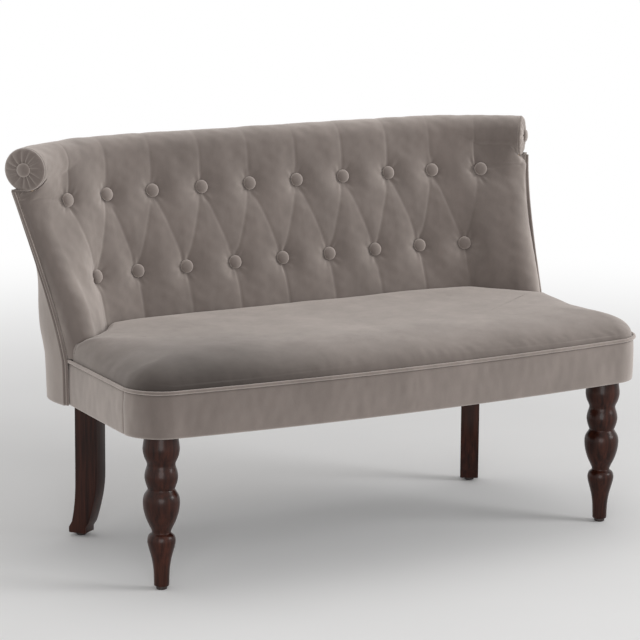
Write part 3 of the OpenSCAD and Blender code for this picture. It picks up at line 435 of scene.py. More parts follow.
def leg_finish(name):
    """Dark stained hardwood with its grain along the leg, under a clear coat."""
    wood = bpy.context.scene.settee_wood
    mat, tree, shader, coords = new_finish(name)
    grain = noise(tree, stretched(tree, coords, (1.0, 1.0, 0.06)), 160.0, 6.0, 0.62)
    figure = noise(tree, stretched(tree, coords, (1.0, 1.0, 0.22)), 22.0, 3.0, 0.5)
    worn = noise(tree, coords, 35.0, 4.0, 0.6)
    base = ramp(tree, grain, (0.34, tuple(wood.leg_dark)), (0.68, tuple(wood.leg_light)))
    rough = new_node(tree, "MapRange", {"Value": worn, "To Min": 0.24, "To Max": 0.38})
    put_all(tree, shader, {
        "Base Color": toned(tree, base, figure, 0.75, 1.25), "Roughness": rough.outputs["Result"],
        "Coat Weight": wood.polish, "Coat Roughness": 0.16, "Specular IOR Level": 0.16})
    bump(tree, shader, grain, 0.12, 0.0003)
    return mat


def timber_finish(name):
    """Pale planed timber, its grain along X."""
    mat, tree, shader, coords = new_finish(name)
    rings = bands(tree, stretched(tree, coords, (0.25, 1.0, 1.0)), 34.0, "Z", 5.0)
    grain = noise(tree, stretched(tree, coords, (0.06, 1.0, 1.0)), 220.0, 5.0, 0.6)
    base = ramp(tree, rings, (0.2, (0.50, 0.33, 0.18)), (0.8, (0.66, 0.47, 0.28)))
    put_all(tree, shader, {"Base Color": toned(tree, base, grain, 0.86, 1.08), "Roughness": 0.7})
    bump(tree, shader, grain, 0.3, 0.0005)
    return mat


def board_finish(name):
    """Hardboard: fine brown fibre."""
    mat, tree, shader, coords = new_finish(name)
    fibre = noise(tree, coords, 700.0, 5.0, 0.7)
    blotch = noise(tree, coords, 18.0, 3.0, 0.5)
    base = ramp(tree, fibre, (0.3, (0.13, 0.075, 0.04)), (0.7, (0.22, 0.135, 0.075)))
    put_all(tree, shader, {"Base Color": toned(tree, base, blotch, 0.88, 1.10), "Roughness": 0.62})
    bump(tree, shader, fibre, 0.3, 0.0003)
    return mat


def woven_finish(name, dark, light, scale, distance):
    """Plain weave: warp and weft as sets of bands, with slubs in the yarn."""
    mat, tree, shader, coords = new_finish(name)
    warp, weft, across = [bands(tree, coords, scale, axis, 0.6) for axis in "XZY"]
    weave = blend(tree, 0.5, blend(tree, 0.5, warp, weft), across)
    slub = noise(tree, coords, scale * 0.6, 4.0, 0.7)
    base = ramp(tree, weave, (0.25, dark), (0.75, light))
    put_all(tree, shader, {
        "Base Color": toned(tree, base, slub, 0.80, 1.15), "Roughness": 0.92, "Specular IOR Level": 0.2})
    bump(tree, shader, weave, 0.6, distance)
    return mat


def speckled_finish(name, scale, detail, grain, low, high, rough, height, metal=0.0):
    """One fine pattern between two colours, also as a slight bump: zinc plate or the glides."""
    mat, tree, shader, coords = new_finish(name)
    speckle = noise(tree, coords, scale, detail, grain)
    base = ramp(tree, speckle, low, high)
    put_all(tree, shader, {"Base Color": base, "Metallic": metal, "Roughness": rough})
    bump(tree, shader, speckle, height, 0.0002)
    return mat


def steel_finish(name):
    return speckled_finish(name, 240.0, 4.0, 0.6, (0.3, (0.42, 0.42, 0.43)), (0.7, (0.60, 0.60, 0.61)),
                           rough=0.36, height=0.15, metal=1.0)


def glide_finish(name):
    return speckled_finish(name, 420.0, 5.0, 0.7, (0.35, (0.012, 0.006, 0.005)),
                           (0.72, (0.030, 0.017, 0.014)), rough=0.5, height=0.2)


# Place, reach and depth of a patch of painted shade at the front left of the seat, where the cushion's front
# faces away from the light
SEAT_PAINTED_SHADE = ((-0.42, -0.27, 0.38), 0.36, 0.42)

FINISHES = {
    "velvet": (velvet_finish, 1.0),
    # painted shade: the seat's copy of the velvet is darkened to 0.80 against the light on its top
    "velvet_seat_painted_shade": (velvet_finish, 0.80, SEAT_PAINTED_SHADE),
    # painted highlight: the trim's copy of the velvet is lightened to 1.06, as the cords and buttons catch
    # the light
    "velvet_trim": (velvet_finish, 1.06),
    "leg_wood": (leg_finish,),
    "frame_wood": (timber_finish,),
    "board": (board_finish,),
    "jute": (woven_finish, (0.20, 0.13, 0.07), (0.42, 0.31, 0.18), 150.0, 0.0006),
    "dust_cloth": (woven_finish, (0.008, 0.008, 0.009), (0.026, 0.026, 0.028), 420.0, 0.0002),
    "steel": (steel_finish,),
    "glide": (glide_finish,),
}

# Finishes that stand for another finish's slot; finish_piece looks this up and keeps no result
RECORD_SLOTS = {"velvet_seat_painted_shade": "velvet"}


def finish(slot):
    """The material of a slot, made when it is first asked for."""
    name = "settee_" + slot
    known = bpy.data.materials.get(name)
    if known:
        return known
    make, *values = FINISHES[slot]
    return make(name, *values)


# Mesh making
def make_active(obj):
    """Selects this object alone."""
    bpy.ops.object.select_all(action="DESELECT")
    obj.select_set(True)
    bpy.context.view_layer.objects.active = obj


def added(name):
    """Names the object that an operator has just added."""
    obj = bpy.context.active_object
    obj.name = name
    obj.data.name = name
    return obj


def grid_object(name, points):
    """A grid primitive whose vertices are moved to points[u, v] in millimetres, then sewn shut."""
    nu, nv = points.shape[:2]
    bpy.ops.mesh.primitive_grid_add(x_subdivisions=nv - 1, y_subdivisions=nu - 1, size=1)
    obj = added(name)
    obj.data.vertices.foreach_set("co", (points * MM).astype(np.float32).ravel())
    obj.data.update()
    bpy.ops.object.mode_set(mode="EDIT")
    bpy.ops.mesh.select_all(action="SELECT")
    bpy.ops.mesh.remove_doubles(threshold=SEW)
    bpy.ops.mesh.normals_make_consistent(inside=False)
    bpy.ops.object.mode_set(mode="OBJECT")
    bpy.ops.object.shade_smooth()
    return obj


def ring_closed(points):
    """Repeats the first row of v at its end, so that each ring closes."""
    return np.concatenate([points, points[:, :1]], axis=1)


def capped(points):
    """Ends the grid in a pole at each end of u, at the middle of its last ring."""
    first, last = [np.broadcast_to(ring.mean(axis=0), ring.shape)[None] for ring in (points[0], points[-1])]
    return np.concatenate([first, points, last], axis=0)


def normals_of(points):
    """Unit normals of a grid of points, from central differences."""
    du = np.gradient(points, axis=0)
    dv = np.gradient(points, axis=1)
    return unit(np.cross(du, dv))


def mirror_u(points):
    """The left half of a symmetrical grid, joined to the given right half along its first column."""
    left = points[:0:-1].copy()
    left[..., 0] *= -1
    return np.concatenate([left, points], axis=0)


def both_halves(values, sign=1):
    """Values of the right half, with those of the left half before them, times a sign."""
    return np.concatenate([sign * values[:0:-1], values], axis=0)


def settle(obj):
    """Leaves a finished piece at the origin, unturned and unscaled."""
    make_active(obj)
    bpy.ops.object.transform_apply(location=True, rotation=True, scale=True)


def finish_piece(obj, slot, *nodes):
    settle(obj)
    obj.data.materials.clear()
    obj.data.materials.append(finish(slot))
    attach(obj, "root")
    if nodes:
        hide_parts(*nodes)
    RECORD_SLOTS.get(slot, slot)
    return obj


def turned(name, profile, sides):
    """A piece turned about Z, from (radius, height) pairs in millimetres, ring by ring."""
    r, z = profile[0]
    bpy.ops.mesh.primitive_circle_add(
        vertices=sides, radius=r * MM, fill_type="NGON", location=(0, 0, z * MM))
    obj = added(name)
    bpy.ops.object.mode_set(mode="EDIT")
    bpy.ops.mesh.select_all(action="SELECT")
    for r_next, z_next in profile[1:]:
        bpy.ops.mesh.extrude_region_move(TRANSFORM_OT_translate={"value": (0, 0, (z_next - z) * MM)})
        k = r_next / r
        bpy.ops.transform.resize(value=(k, k, 1), center_override=(0, 0, z_next * MM))
        r, z = r_next, z_next
    bpy.ops.mesh.select_all(action="SELECT")
    bpy.ops.mesh.normals_make_consistent(inside=False)
    bpy.ops.object.mode_set(mode="OBJECT")
    bpy.ops.object.shade_smooth_by_angle(angle=math.radians(50))
    return obj


def copy_of(obj, name):
    other = obj.copy()
    other.data = obj.data.copy()
    other.name = name
    other.data.name = name
    bpy.context.scene.collection.objects.link(other)
    return other


def joined(name, objects):
    """Joins several objects into the first."""
    make_active(objects[0])
    for obj in objects:
        obj.select_set(True)
    bpy.ops.object.transform_apply(location=True, rotation=True, scale=True)
    bpy.ops.object.join()
    objects[0].name = name
    objects[0].data.name = name
    return objects[0]


def apply_modifier(obj, kind, **settings):
    """Adds a modifier with its settings and applies it."""
    modifier = obj.modifiers.new("shape", kind)
    for key, value in settings.items():
        setattr(modifier, key, value)
    make_active(obj)
    bpy.ops.object.modifier_apply(modifier=modifier.name)


def smooth_curve(points, steps):
    """A Catmull-Rom curve through the points, with steps between each pair."""
    pts = np.asarray(points, float)
    pts = np.concatenate([2 * pts[:1] - pts[1:2], pts, 2 * pts[-1:] - pts[-2:-1]])
    t = np.linspace(0, 1, steps, endpoint=False)[:, None]
    out = []
    for a, b, c, d in zip(pts, pts[1:], pts[2:], pts[3:]):
        out.append(0.5 * (2 * b + (c - a) * t + (2 * a - 5 * b + 4 * c - d) * t ** 2
                          + (3 * b - a - 3 * c + d) * t ** 3))
    return np.concatenate(out + [pts[-2:-1]])


def along(points, share):
    """Points at shares of the length of a line of points."""
    run = run_of(points)
    at = np.asarray(share) * run[-1]
    return np.stack([np.interp(at, run, points[:, i]) for i in range(points.shape[1])], axis=-1)


def tube(name, centre, side, radius, sides=14):
    """A round cord along centre points; side is the outward unit direction at each point."""
    forward = unit(np.gradient(centre, axis=0))
    up = unit(np.cross(forward, side))
    side = np.cross(up, forward)
    a = np.linspace(0, 2 * math.pi, sides, endpoint=False)
    radius = np.broadcast_to(radius, (len(centre),))[:, None, None]
    rings = centre[:, None] + radius * (side[:, None] * np.cos(a)[None, :, None]
                                        + up[:, None] * np.sin(a)[None, :, None])
    return grid_object(name, capped(ring_closed(rings)))


# Back upholstery: one padded skin over the back, the wings and the roll along the top
MAIN_COLUMNS = 150
FLAT_COLUMNS = 38
NOSE_COLUMNS = 40
FRONT_ROWS = 128
ROLL_ROWS = 58
INNER_ROWS = 12
START_ANGLE = math.radians(164.9)
END_ANGLE = math.radians(-70.0)
HANG_ANGLE = math.radians(205.0)
HANG_Z = 572.0
POST_COVER = 6.0
DISC_ANGLE = math.radians(270.0)
WING_BULGE = 3.0
LINE_LEAD = 1.14
ROLL_BACK_Z = 800.0
SEAT_LINE_Z = 352.0
PUCKER = 0.6
PLEAT_W = 3.2
PILLOW_R = 24.0
CREASE_Z = 634.0
CREASE_DEPTH = 2.2
CREASE_W = 3.0
SOFTEN_COLUMNS = 22
SOFTEN_TIMES = 40
HANG_ROWS = 0.72
HANG_COLUMNS = 34
HANG_TIMES = 14

# Dimples of the buttons, and the puckers round them
DIMPLE_FALL = 1.3
PUCKER_R = 19.0
PUCKER_W = 7.5
RANDOM_TURN = 6.28

# Strength of the pleats, how it fades along them, and how their width wanders
ROLL_PLEAT = 0.2
SEAT_PLEAT = 0.45
DIAMOND_PLEAT = 0.62
DIAMOND_FADE = 28.0
PLEAT_FADE = 110.0
PLEAT_WANDER = 0.25
WANDER_RUN = 23.0
WANDER_SHIFT = 1.7

# Pillows between the pleats, which flatten above a height
PILLOW_POWER = 1.6
ROLL_FULLNESS = 0.25
FULL_TO_Z = 655.0
FULL_FADE_Z = 50.0

# Rise of the pad's front to meet the roll, and the hidden path back down to the seat
LIFT_Z = 640.0
LIFT_RISE = 56.0
HUMP_Z = 606.0
LIFT_OFF = 0.6
RAIL_PATH = [(7.5, 650.5), (7.5, 669.5), (-15.5, 669.5), (-15.5, 649.5)]
INNER_TOP_Z = 644.0
WEB_END = (-1.55, -2.7)
WEB_SHARES = (0.0, 0.4, 0.7, 1.0)


def sums_of_waves(x, y, seed, wave, count=7):
    """Soft, repeatable unevenness from a few crossing waves, about -1 to 1."""
    rng = np.random.default_rng(seed)
    total = np.zeros(np.broadcast(x, y).shape)
    for _ in range(count):
        turn = rng.uniform(0, 2 * math.pi)
        k = 2 * math.pi / (wave * rng.uniform(0.7, 1.5))
        total += np.sin(k * (x * math.cos(turn) + y * math.sin(turn)) + rng.uniform(0, 2 * math.pi))
    return total / math.sqrt(count) / 1.4


def to_segment(x, y, a, b):
    """Distance from points to the segment a to b, and the share of the way along it."""
    ax, ay = a
    dx, dy = b[0] - ax, b[1] - ay
    t = np.clip(((x - ax) * dx + (y - ay) * dy) / (dx * dx + dy * dy), 0, 1)
    return np.hypot(x - ax - dx * t, y - ay - dy * t), t


def button_places():
    upper = [(k * HALF_PITCH, UPPER_Z) for k in range(-9, 10, 2)]
    lower = [(k * HALF_PITCH, LOWER_Z) for k in range(-8, 9, 2)]
    return upper, lower


def dimple(x, z, px, pz, tufting):
    """The dimple of the button at (x, z), and the small puckers of the cloth round it."""
    r = np.hypot(px - x, pz - z)
    a = np.arctan2(pz - z, px - x)
    rng = np.random.default_rng(int(abs(x) * 7 + z) + (x < 0))
    pucker = np.cos(a * 7 + rng.uniform(0, RANDOM_TURN)) + 0.6 * np.cos(a * 11 + rng.uniform(0, RANDOM_TURN))
    hollow = tufting.dimple_depth / MM * np.exp(-(r / (tufting.dimple_radius / MM)) ** DIMPLE_FALL)
    return PUCKER * pucker * np.exp(-((r - PUCKER_R) / PUCKER_W) ** 2) - hollow


def pleat_lines():
    """Each pleat's two ends, and its strength at the far end, or None for one between two buttons."""
    upper, lower = button_places()
    lines = []
    for x, z in upper:
        feet = [foot for foot in (x - HALF_PITCH, x + HALF_PITCH) if abs(foot) < SPLIT_P + 1]
        lines += [((x, z), (foot, LOWER_Z), None) for foot in feet]
        lines.append(((x, z), (x, ROLL_BACK_Z), ROLL_PLEAT))
    return lines + [((x, z), (x, SEAT_LINE_Z), SEAT_PLEAT) for x, z in lower]


def pleat_strength(run, length, far):
    """Strength so far along a pleat; one between two buttons is deepest at both."""
    if far is None:
        gap = np.minimum(run, length - run)
        return DIAMOND_PLEAT + (1 - DIAMOND_PLEAT) * np.exp(-gap / DIAMOND_FADE)
    return mix(1.0, far, np.clip(run / PLEAT_FADE, 0, 1))


def back_relief(px, pz, tame, tufting):
    """How far the buttoned cloth stands out from its pad at chart place (px, pz), in millimetres."""
    upper, lower = button_places()
    relief = sum(dimple(x, z, px, pz, tufting) for x, z in upper + lower)
    nearest = np.full(px.shape, 1e3)
    creases = np.zeros(px.shape)
    for number, (a, b, far) in enumerate(pleat_lines()):
        d, t = to_segment(px, pz, a, b)
        run = t * math.dist(a, b)
        width = PLEAT_W * (1 + PLEAT_WANDER * np.sin(run / WANDER_RUN + number * WANDER_SHIFT))
        creases = np.maximum(creases, pleat_strength(run, math.dist(a, b), far) * np.exp(-d / width))
        nearest = np.minimum(nearest, d)
    fullness = mix(1.0, ROLL_FULLNESS, smooth((pz - FULL_TO_Z) / FULL_FADE_Z))
    fullness = fullness * (1 - smooth((np.abs(px) - 9 * HALF_PITCH + 20) / 40))
    relief -= tufting.pleat_depth / MM * creases
    relief += tufting.pillow / MM * fullness * (1 - np.exp(-(nearest / PILLOW_R) ** PILLOW_POWER))
    relief += 0.7 * sums_of_waves(px, pz, 11, 70) + 0.25 * sums_of_waves(px, pz, 12, 26)
    return relief * tame


def wing_point(column, z):
    """Section of the wing's pad: its flat from the back, then its nose round to the seam."""
    angle = tangent_angle(z)
    a = crest_pt(np.full_like(z, SPLIT_P), z)
    b = nose_pt(angle, z)
    reach = np.linalg.norm(b - a, axis=-1)
    t = np.clip(column / FLAT_COLUMNS, 0, 1)
    swell = WING_BULGE * np.sin(math.pi * t) ** 2
    flat = a + (b - a) * t[..., None] + facing(angle) * swell[..., None]
    round_it = mix(angle, seam_angle(z), np.clip((column - FLAT_COLUMNS) / NOSE_COLUMNS, 0, 1))
    chart = SPLIT_P + reach * t + NOSE_R * (round_it - angle)
    return np.where((column <= FLAT_COLUMNS)[..., None], flat, nose_pt(round_it, z)), chart


def wing_inner(c, z):
    """Hidden inner face of the wing's pad, before the posts and the webbing."""
    back = POST_T - POST_OUT + CLEAR
    at = face_pt(np.full_like(z, SPLIT_P), z, -PAD_BACK)
    corners = (edge_pt(z, -back, POST_FRONT + POST_W) + np.array(WEB_END),
               edge_pt(z, -back, POST_FRONT - CLEAR),
               edge_pt(z, POST_OUT - CLEAR, POST_FRONT - CLEAR))
    for corner, begin, end in zip(corners, WEB_SHARES, WEB_SHARES[1:]):
        at = mix(at, corner, np.clip((c[..., None] - begin) / (end - begin), 0, 1))
    return at


def front_rows(p, p_roll, column, c, start, foot):
    """Front of the pad from its hidden foot to where the roll begins, its chart places and its heights."""
    top = (ROLL_Z + ROLL_R * np.sin(start))[:, None]
    share = c[:, None]
    z = mix(foot[:, None], top, np.linspace(0, 1, FRONT_ROWS)[None])

    # between the wings: the buttoned slope, drawn forward to meet the roll
    pp = np.broadcast_to(p[:, None], z.shape)
    lift = smooth((z - LIFT_Z) / LIFT_RISE)
    main = mix(crest_pt(pp, z), bent(pp, ROLL_Y, crest_y(z) - LINE_LEAD * lift - ROLL_Y), lift[..., None])

    # the wings: the pad's section, which turns into the end of the roll above the crease
    section, chart = wing_point(np.broadcast_to(column[:, None], z.shape), z)
    a = bend_at(p_roll)
    lean = stack(np.sin(a), np.cos(a)) * (RAKE * (1 - c))[:, None]
    target = bent(p_roll, ROLL_Y, ROLL_R * np.cos(start))[:, None] + lean[:, None] * (z - top)[..., None]
    low = mix(HANG_Z, mix(UPPER_Z, CREASE_Z, share) - 4, smooth((share - 0.75) / 0.25))
    rise = smooth((z - low) / (top - low))
    wing = mix(section, target, rise[..., None])

    # a slight swell over the top corner of the wing's post
    hump = POST_COVER * smooth((share - 0.84) / 0.08) * (1 - 0.5 * smooth((share - 0.94) / 0.06))
    hump = hump * smooth((z - HUMP_Z) / 25) * smooth((top - z + 0.5) / 2)
    turn = wing_turn(z)
    wing = wing + stack(np.cos(turn), -np.sin(turn)) * hump[..., None]

    on_wing = (column > 0)[:, None]
    front = with_z(np.where(on_wing[..., None], wing, main), z)
    return front, np.where(on_wing, mix(chart, p_roll[:, None], rise), pp), z


def roll_rows(p_roll, start):
    """Over the roll and down behind it, with the chart places and heights of the cloth laid flat."""
    angle = mix(start[:, None], END_ANGLE, np.linspace(0, 1, ROLL_ROWS + 1)[None, 1:])
    pr = np.broadcast_to(p_roll[:, None], angle.shape)
    over = with_z(bent(pr, ROLL_Y, ROLL_R * np.cos(angle)), ROLL_Z + ROLL_R * np.sin(angle))
    top = ROLL_Z + ROLL_R * np.sin(start)
    return over, pr, top[:, None] + ROLL_R * (start[:, None] - angle)


def hidden_rows(p, p_roll, column, c, foot):
    """Hidden inner path: round the rail in the roll, then down before the posts."""
    rows = [with_z(bent(p_roll, ROLL_Y, out), height) for out, height in RAIL_PATH]
    for share in np.linspace(0, 1, INNER_ROWS):
        z = mix(INNER_TOP_Z, foot, share)
        rows.append(with_z(np.where((column > 0)[:, None], wing_inner(c, z), face_pt(p, z, -PAD_BACK)), z))
    return np.stack(rows, axis=1)


def soften(front):
    """Rounds the corner where the wing leaves the back, then the cloth that hangs under the roll's end."""
    middle = MAIN_COLUMNS - 1
    split = front[middle - SOFTEN_COLUMNS:middle + SOFTEN_COLUMNS + 1]
    for _ in range(SOFTEN_TIMES):
        split[1:-1] = 0.25 * split[:-2] + 0.5 * split[1:-1] + 0.25 * split[2:]
    hang = front[-HANG_COLUMNS:, int(HANG_ROWS * FRONT_ROWS):FRONT_ROWS - 1]
    for _ in range(HANG_TIMES):
        hang[1:-1, 1:-1] = 0.25 * (hang[:-2, 1:-1] + hang[2:, 1:-1] + hang[1:-1, :-2] + hang[1:-1, 2:])


def end_targets(front, over, hidden):
    """Where each point of an end ring closes to: a line inside the wing's edge, then the roll's middle."""
    inner = hidden[-INNER_ROWS:]
    z = front[:, 2]
    line = np.stack([np.interp(inner[::-1, 2], z, front[:, i]) for i in range(3)], axis=-1)[::-1]
    line = 0.5 * (line + inner)
    nearest = np.abs(z[:, None] - inner[None, :, 2]).argmin(axis=1)
    disc = over.mean(axis=0)
    return np.concatenate([line[nearest], np.broadcast_to(disc, over.shape),
                           np.broadcast_to(disc, (len(hidden) - INNER_ROWS, 3)), line])


def build_back(tufting):
    # columns from the middle to the last lower button, then across the wing to its seam
    wing_columns = FLAT_COLUMNS + NOSE_COLUMNS
    p = np.concatenate([np.linspace(0, SPLIT_P, MAIN_COLUMNS), np.full(wing_columns, SPLIT_P)])
    column = np.concatenate([np.zeros(MAIN_COLUMNS), np.arange(1, wing_columns + 1)])
    c = column / wing_columns
    p_roll = mix(p, ROLL_END_P, c)
    start = mix(mix(START_ANGLE, HANG_ANGLE, smooth(c / 0.5)), DISC_ANGLE, smooth((c - 0.88) / 0.12))
    foot = mix(DECK_Z + LIFT_OFF, PIPING_Z + 9, smooth((c - 0.72) / 0.14))
    front, chart, z = front_rows(p, p_roll, column, c, start, foot)
    over, chart_over, z_over = roll_rows(p_roll, start)
    hidden = hidden_rows(p, p_roll, column, c, foot)
    soften(front)

    seen = mirror_u(np.concatenate([front, over], axis=1))
    charts = both_halves(np.concatenate([chart, chart_over], axis=1), -1)
    heights = both_halves(np.concatenate([z, z_over], axis=1))
    share = both_halves(c)[:, None]
    normals = normals_of(seen)
    normals *= -np.sign(normals[len(normals) // 2, FRONT_ROWS // 2, 1])

    # relief calms down behind the roll, at the seam and at the hidden foot
    tame = smooth((ROLL_BACK_Z - 6 - heights) / 40) * smooth((1 - share) / 0.12)
    tame = tame * smooth((heights - DECK_Z) / 30)
    relief = back_relief(charts, heights, tame, tufting)
    strip = smooth((np.abs(charts) - 9 * HALF_PITCH) / 14)
    line = mix(UPPER_Z, CREASE_Z, share)
    relief -= CREASE_DEPTH * strip * np.exp(-np.abs(heights - line) / CREASE_W)
    seen = seen + normals * relief[..., None]

    rings = np.concatenate([seen, mirror_u(hidden)], axis=1)
    cap = end_targets(rings[-1, :FRONT_ROWS], rings[-1, FRONT_ROWS:FRONT_ROWS + ROLL_ROWS], hidden[-1])
    rings = np.concatenate([(cap * LEFT)[None], rings, cap[None]])
    back = grid_object("back_upholstery", ring_closed(rings))
    finish_piece(back, "velvet", "back_pad", "wing_pad_left", "wing_pad_right", "top_roll")


class SETTEE_OT_back(bpy.types.Operator):
    """Buttoned back, wings and rolled top, as one padded skin"""
    bl_idname = "settee.back_upholstery"
    bl_label = "Back upholstery"

    def execute(self, context):
        build_back(context.scene.settee_tufting)
        return {"FINISHED"}


# Seat cushion: a crowned pad inside the piping, tucked under the back and the wings
SEAT_POINTS = 170
SEAT_CUT = 3.8
NOSE_STOP = math.radians(54)
SIDE_SHARE = 0.955
SPINE_Y = -170.0
SPINE_REACH = 300.0
CROWN_REACH = 130.0
CROWN_POWER = 2.2
FULL_REACH = 75.0
FULL_POWER = 3.0
FULL_FROM_Y = -120.0
FULL_RUN = 150.0
NOSE_RISE = 0.9
NOSE_FULL = 0.55
TUCK = 14.0
RIM_BLEND = 14.0
CORD_Z = PIPING_Z + 4
SEAT_GAP = 0.7


def seat_outline():
    """Right half of the cushion's outline from the middle of the front to that of the rear, with heights."""
    front = rim_pt(np.linspace(0, 2 + SIDE_SHARE, 500), -SEAT_CUT)
    t = np.linspace(0, 1, 60)
    nose_z = mix(CORD_Z, REAR_MEET_Z, np.clip(t / NOSE_RISE, 0, 1) ** NOSE_FULL)
    nose = nose_centre(nose_z) + (NOSE_R + SEAT_GAP) * facing(mix(NOSE_STOP, tangent_angle(nose_z), t))
    flat_z = np.full(len(t) - 1, REAR_MEET_Z)
    flat, _ = wing_point((1 - t[1:]) * FLAT_COLUMNS, flat_z)
    flat = flat + SEAT_GAP * facing(tangent_angle(flat_z))
    p = np.linspace(SPLIT_P, 0, 200)[1:]
    back = crest_pt(p, np.full_like(p, REAR_MEET_Z)) - stack(0, SEAT_GAP)
    return np.concatenate([with_z(front, CORD_Z), with_z(nose, nose_z), with_z(flat, flat_z),
                           with_z(back, REAR_MEET_Z)])


def crown(plan, loop, top):
    """Height of the cushion's top, from how far each point lies inside the outline; fuller by the wings."""
    gap = np.linalg.norm(plan[:, None] - loop[None, :, :2], axis=2)
    nearest = gap.min(axis=1)
    blend_over = 0.5 + RIM_BLEND * np.clip(nearest / 40, 0, 1)
    weight = np.exp(-(gap - nearest[:, None]) / blend_over[:, None])
    rim_z = (weight * loop[None, :, 2]).sum(axis=1) / weight.sum(axis=1)
    full = smooth((plan[:, 1] - FULL_FROM_Y) / FULL_RUN)
    t = np.clip(nearest / mix(CROWN_REACH, FULL_REACH, full), 0, 1)
    power = mix(CROWN_POWER, FULL_POWER, full)
    return mix(rim_z, top, (1 - (1 - t) ** power) ** (1 / power))


def cushion_ring(plan, loop, top):
    """One ring of the cushion's top, with its tuck under the back, soft unevenness and pinched rim."""
    run = np.linalg.norm(plan - loop[:, :2], axis=1)
    at_rear = smooth((loop[:, 2] - PIPING_Z - 6) / 30)
    tuck = TUCK * at_rear * smooth((480 - np.abs(loop[:, 0])) / 50)
    z = crown(plan, loop, top) - tuck * np.clip(1 - run / 20, 0, 1) ** 2
    z = z + smooth(run / 30) * (1.1 * sums_of_waves(plan[:, 0], plan[:, 1], 21, 210)
                                + 0.35 * sums_of_waves(plan[:, 0], plan[:, 1], 22, 60))
    round_rim = np.arange(len(plan)) * 3.2
    pinch = (1 - at_rear) * np.exp(-((run - 9) / 9) ** 2)
    return with_z(plan, z + 0.45 * pinch * sums_of_waves(round_rim, run * 0.3, 23, 19))


def build_seat(seat):
    # the outline all round, and the line on which the top's rings close up
    line = seat_outline()
    widest = int(np.argmax(line[:, 0]))
    share = np.linspace(0, 1, SEAT_POINTS)
    half = np.concatenate([along(line[:widest + 1], share), along(line[widest:], share)[1:]])
    pair = SPINE_REACH * np.concatenate([share, share[-2::-1]])
    spine = stack(pair, SPINE_Y)
    loop = np.concatenate([half, half[-2:0:-1] * LEFT])
    spine = np.concatenate([spine, spine[-2:0:-1] * LEFT[:2]])

    floor_z = DECK_Z + LIFT_OFF
    rings = [with_z(mix(loop[:, :2], spine, s), floor_z) for s in (1.0, 0.7, 0.35, 0.0)]
    rings += [with_z(loop, mix(floor_z, loop[:, 2], t)) for t in np.linspace(0, 1, 7)[1:-1]]
    rings += [cushion_ring(mix(loop[:, :2], spine, s), loop, CORD_Z + seat.crown / MM)
              for s in np.linspace(0, 1, 46) ** 1.7]
    cushion = grid_object("seat_cushion", ring_closed(np.stack(rings)))
    finish_piece(cushion, "velvet_seat_painted_shade", "seat_pad")


def build_piping(seat):
    s = even_shares(150, 60, 100)
    plan = mirror_u(rim_pt(s, 0.5)[:, None])[:, 0]
    side = mirror_u((rim_pt(s, 10.5) - rim_pt(s, 0.5))[:, None])[:, 0]
    centre = with_z(plan, CORD_Z)
    run = np.cumsum(np.linalg.norm(np.gradient(centre, axis=0), axis=1))
    radius = seat.piping_radius / MM * (1 + 0.02 * np.sin(run / 1.9) + 0.02 * np.sin(run / 7.3))
    cord = tube("seat_piping_cord", centre, unit(with_z(side, 0)), radius)
    finish_piece(cord, "velvet_trim", "seat_piping")


class SETTEE_OT_seat(bpy.types.Operator):
    """Crowned seat cushion and the piping round it"""
    bl_idname = "settee.seat"
    bl_label = "Seat"

    def execute(self, context):
        build_seat(context.scene.settee_seat)
        build_piping(context.scene.settee_seat)
        return {"FINISHED"}


# Border cloth round the seat frame, in a front piece and two side pieces
BORDER_TOP = 351.6
BORDER_FOOT = 276.2
BORDER_BACK = -3.9
BORDER_IN = -1.5
BORDER_SWELL = 1.9
SEAM_DEPTH = 1.7
SEAM_W = 3.0


def border(name, node, s, mirrored, seam):
    """One piece of border cloth along the rim's share s, with a seam at a share of its length."""
    t = np.linspace(0, 1, 30)
    z = mix(BORDER_FOOT, BORDER_TOP, t)
    edge = np.minimum(t, 1 - t)
    bulge = BORDER_IN + BORDER_SWELL * np.sqrt(np.clip(edge / 0.5, 0, 1)) ** 0.8
    run = run_of(rim_pt(s, 0))[:, None]
    out = bulge[None] - SEAM_DEPTH * np.exp(-np.abs(run - seam * run[-1]) / SEAM_W)
    waves = 0.35 * sums_of_waves(run, z[None], 31, 90) + 0.2 * sums_of_waves(run, z[None], 32, 24)
    out = out + smooth(edge * 5)[None] * waves
    face = with_z(rim_pt(np.broadcast_to(s[:, None], out.shape), out), z[None])
    back = rim_pt(s, BORDER_BACK)
    rear = np.stack([with_z(back, h) for h in (BORDER_TOP, BORDER_FOOT)], axis=1)
    rings = np.concatenate([face, rear], axis=1)
    if mirrored == "both":
        rings = mirror_u(rings)
    elif mirrored == "left":
        rings = rings * LEFT
    band = grid_object(name, capped(ring_closed(rings)))
    finish_piece(band, "velvet", node)


class SETTEE_OT_borders(bpy.types.Operator):
    """Border cloth round the front and the sides of the seat frame"""
    bl_idname = "settee.borders"
    bl_label = "Seat borders"

    def execute(self, context):
        border("front_border", "border_front", even_shares(190, 60), "both", 1.0)
        side = 2 + np.linspace(0, 1, 110) ** 1.2
        border("left_border", "border_left", side, "left", 0.0)
        border("right_border", "border_right", side, "right", 0.0)
        return {"FINISHED"}


# Round ends of the roll and the covered buttons
FACE_RINGS = 34
FACE_SPOKES = 144
FACE_T = 9.0
FACE_PLEATS = 14
FACE_BACK = ((0.05, 0.3), (0.6, 0.3), (1.0, 0.3), (1.0, 1.6))
FACE_EDGE = 1.6
FACE_FOLD = 2.0
FACE_SINK = 1.2
TUFT_SINK = 8.7
END_BUTTON_SINK = 1.5
BUTTON_PROFILE = [(0.93, 0), (1, 0.13), (1, 0.33), (0.96, 0.49), (0.88, 0.64), (0.75, 0.78),
                  (0.58, 0.88), (0.38, 0.95), (0.18, 0.99), (0.04, 1)]


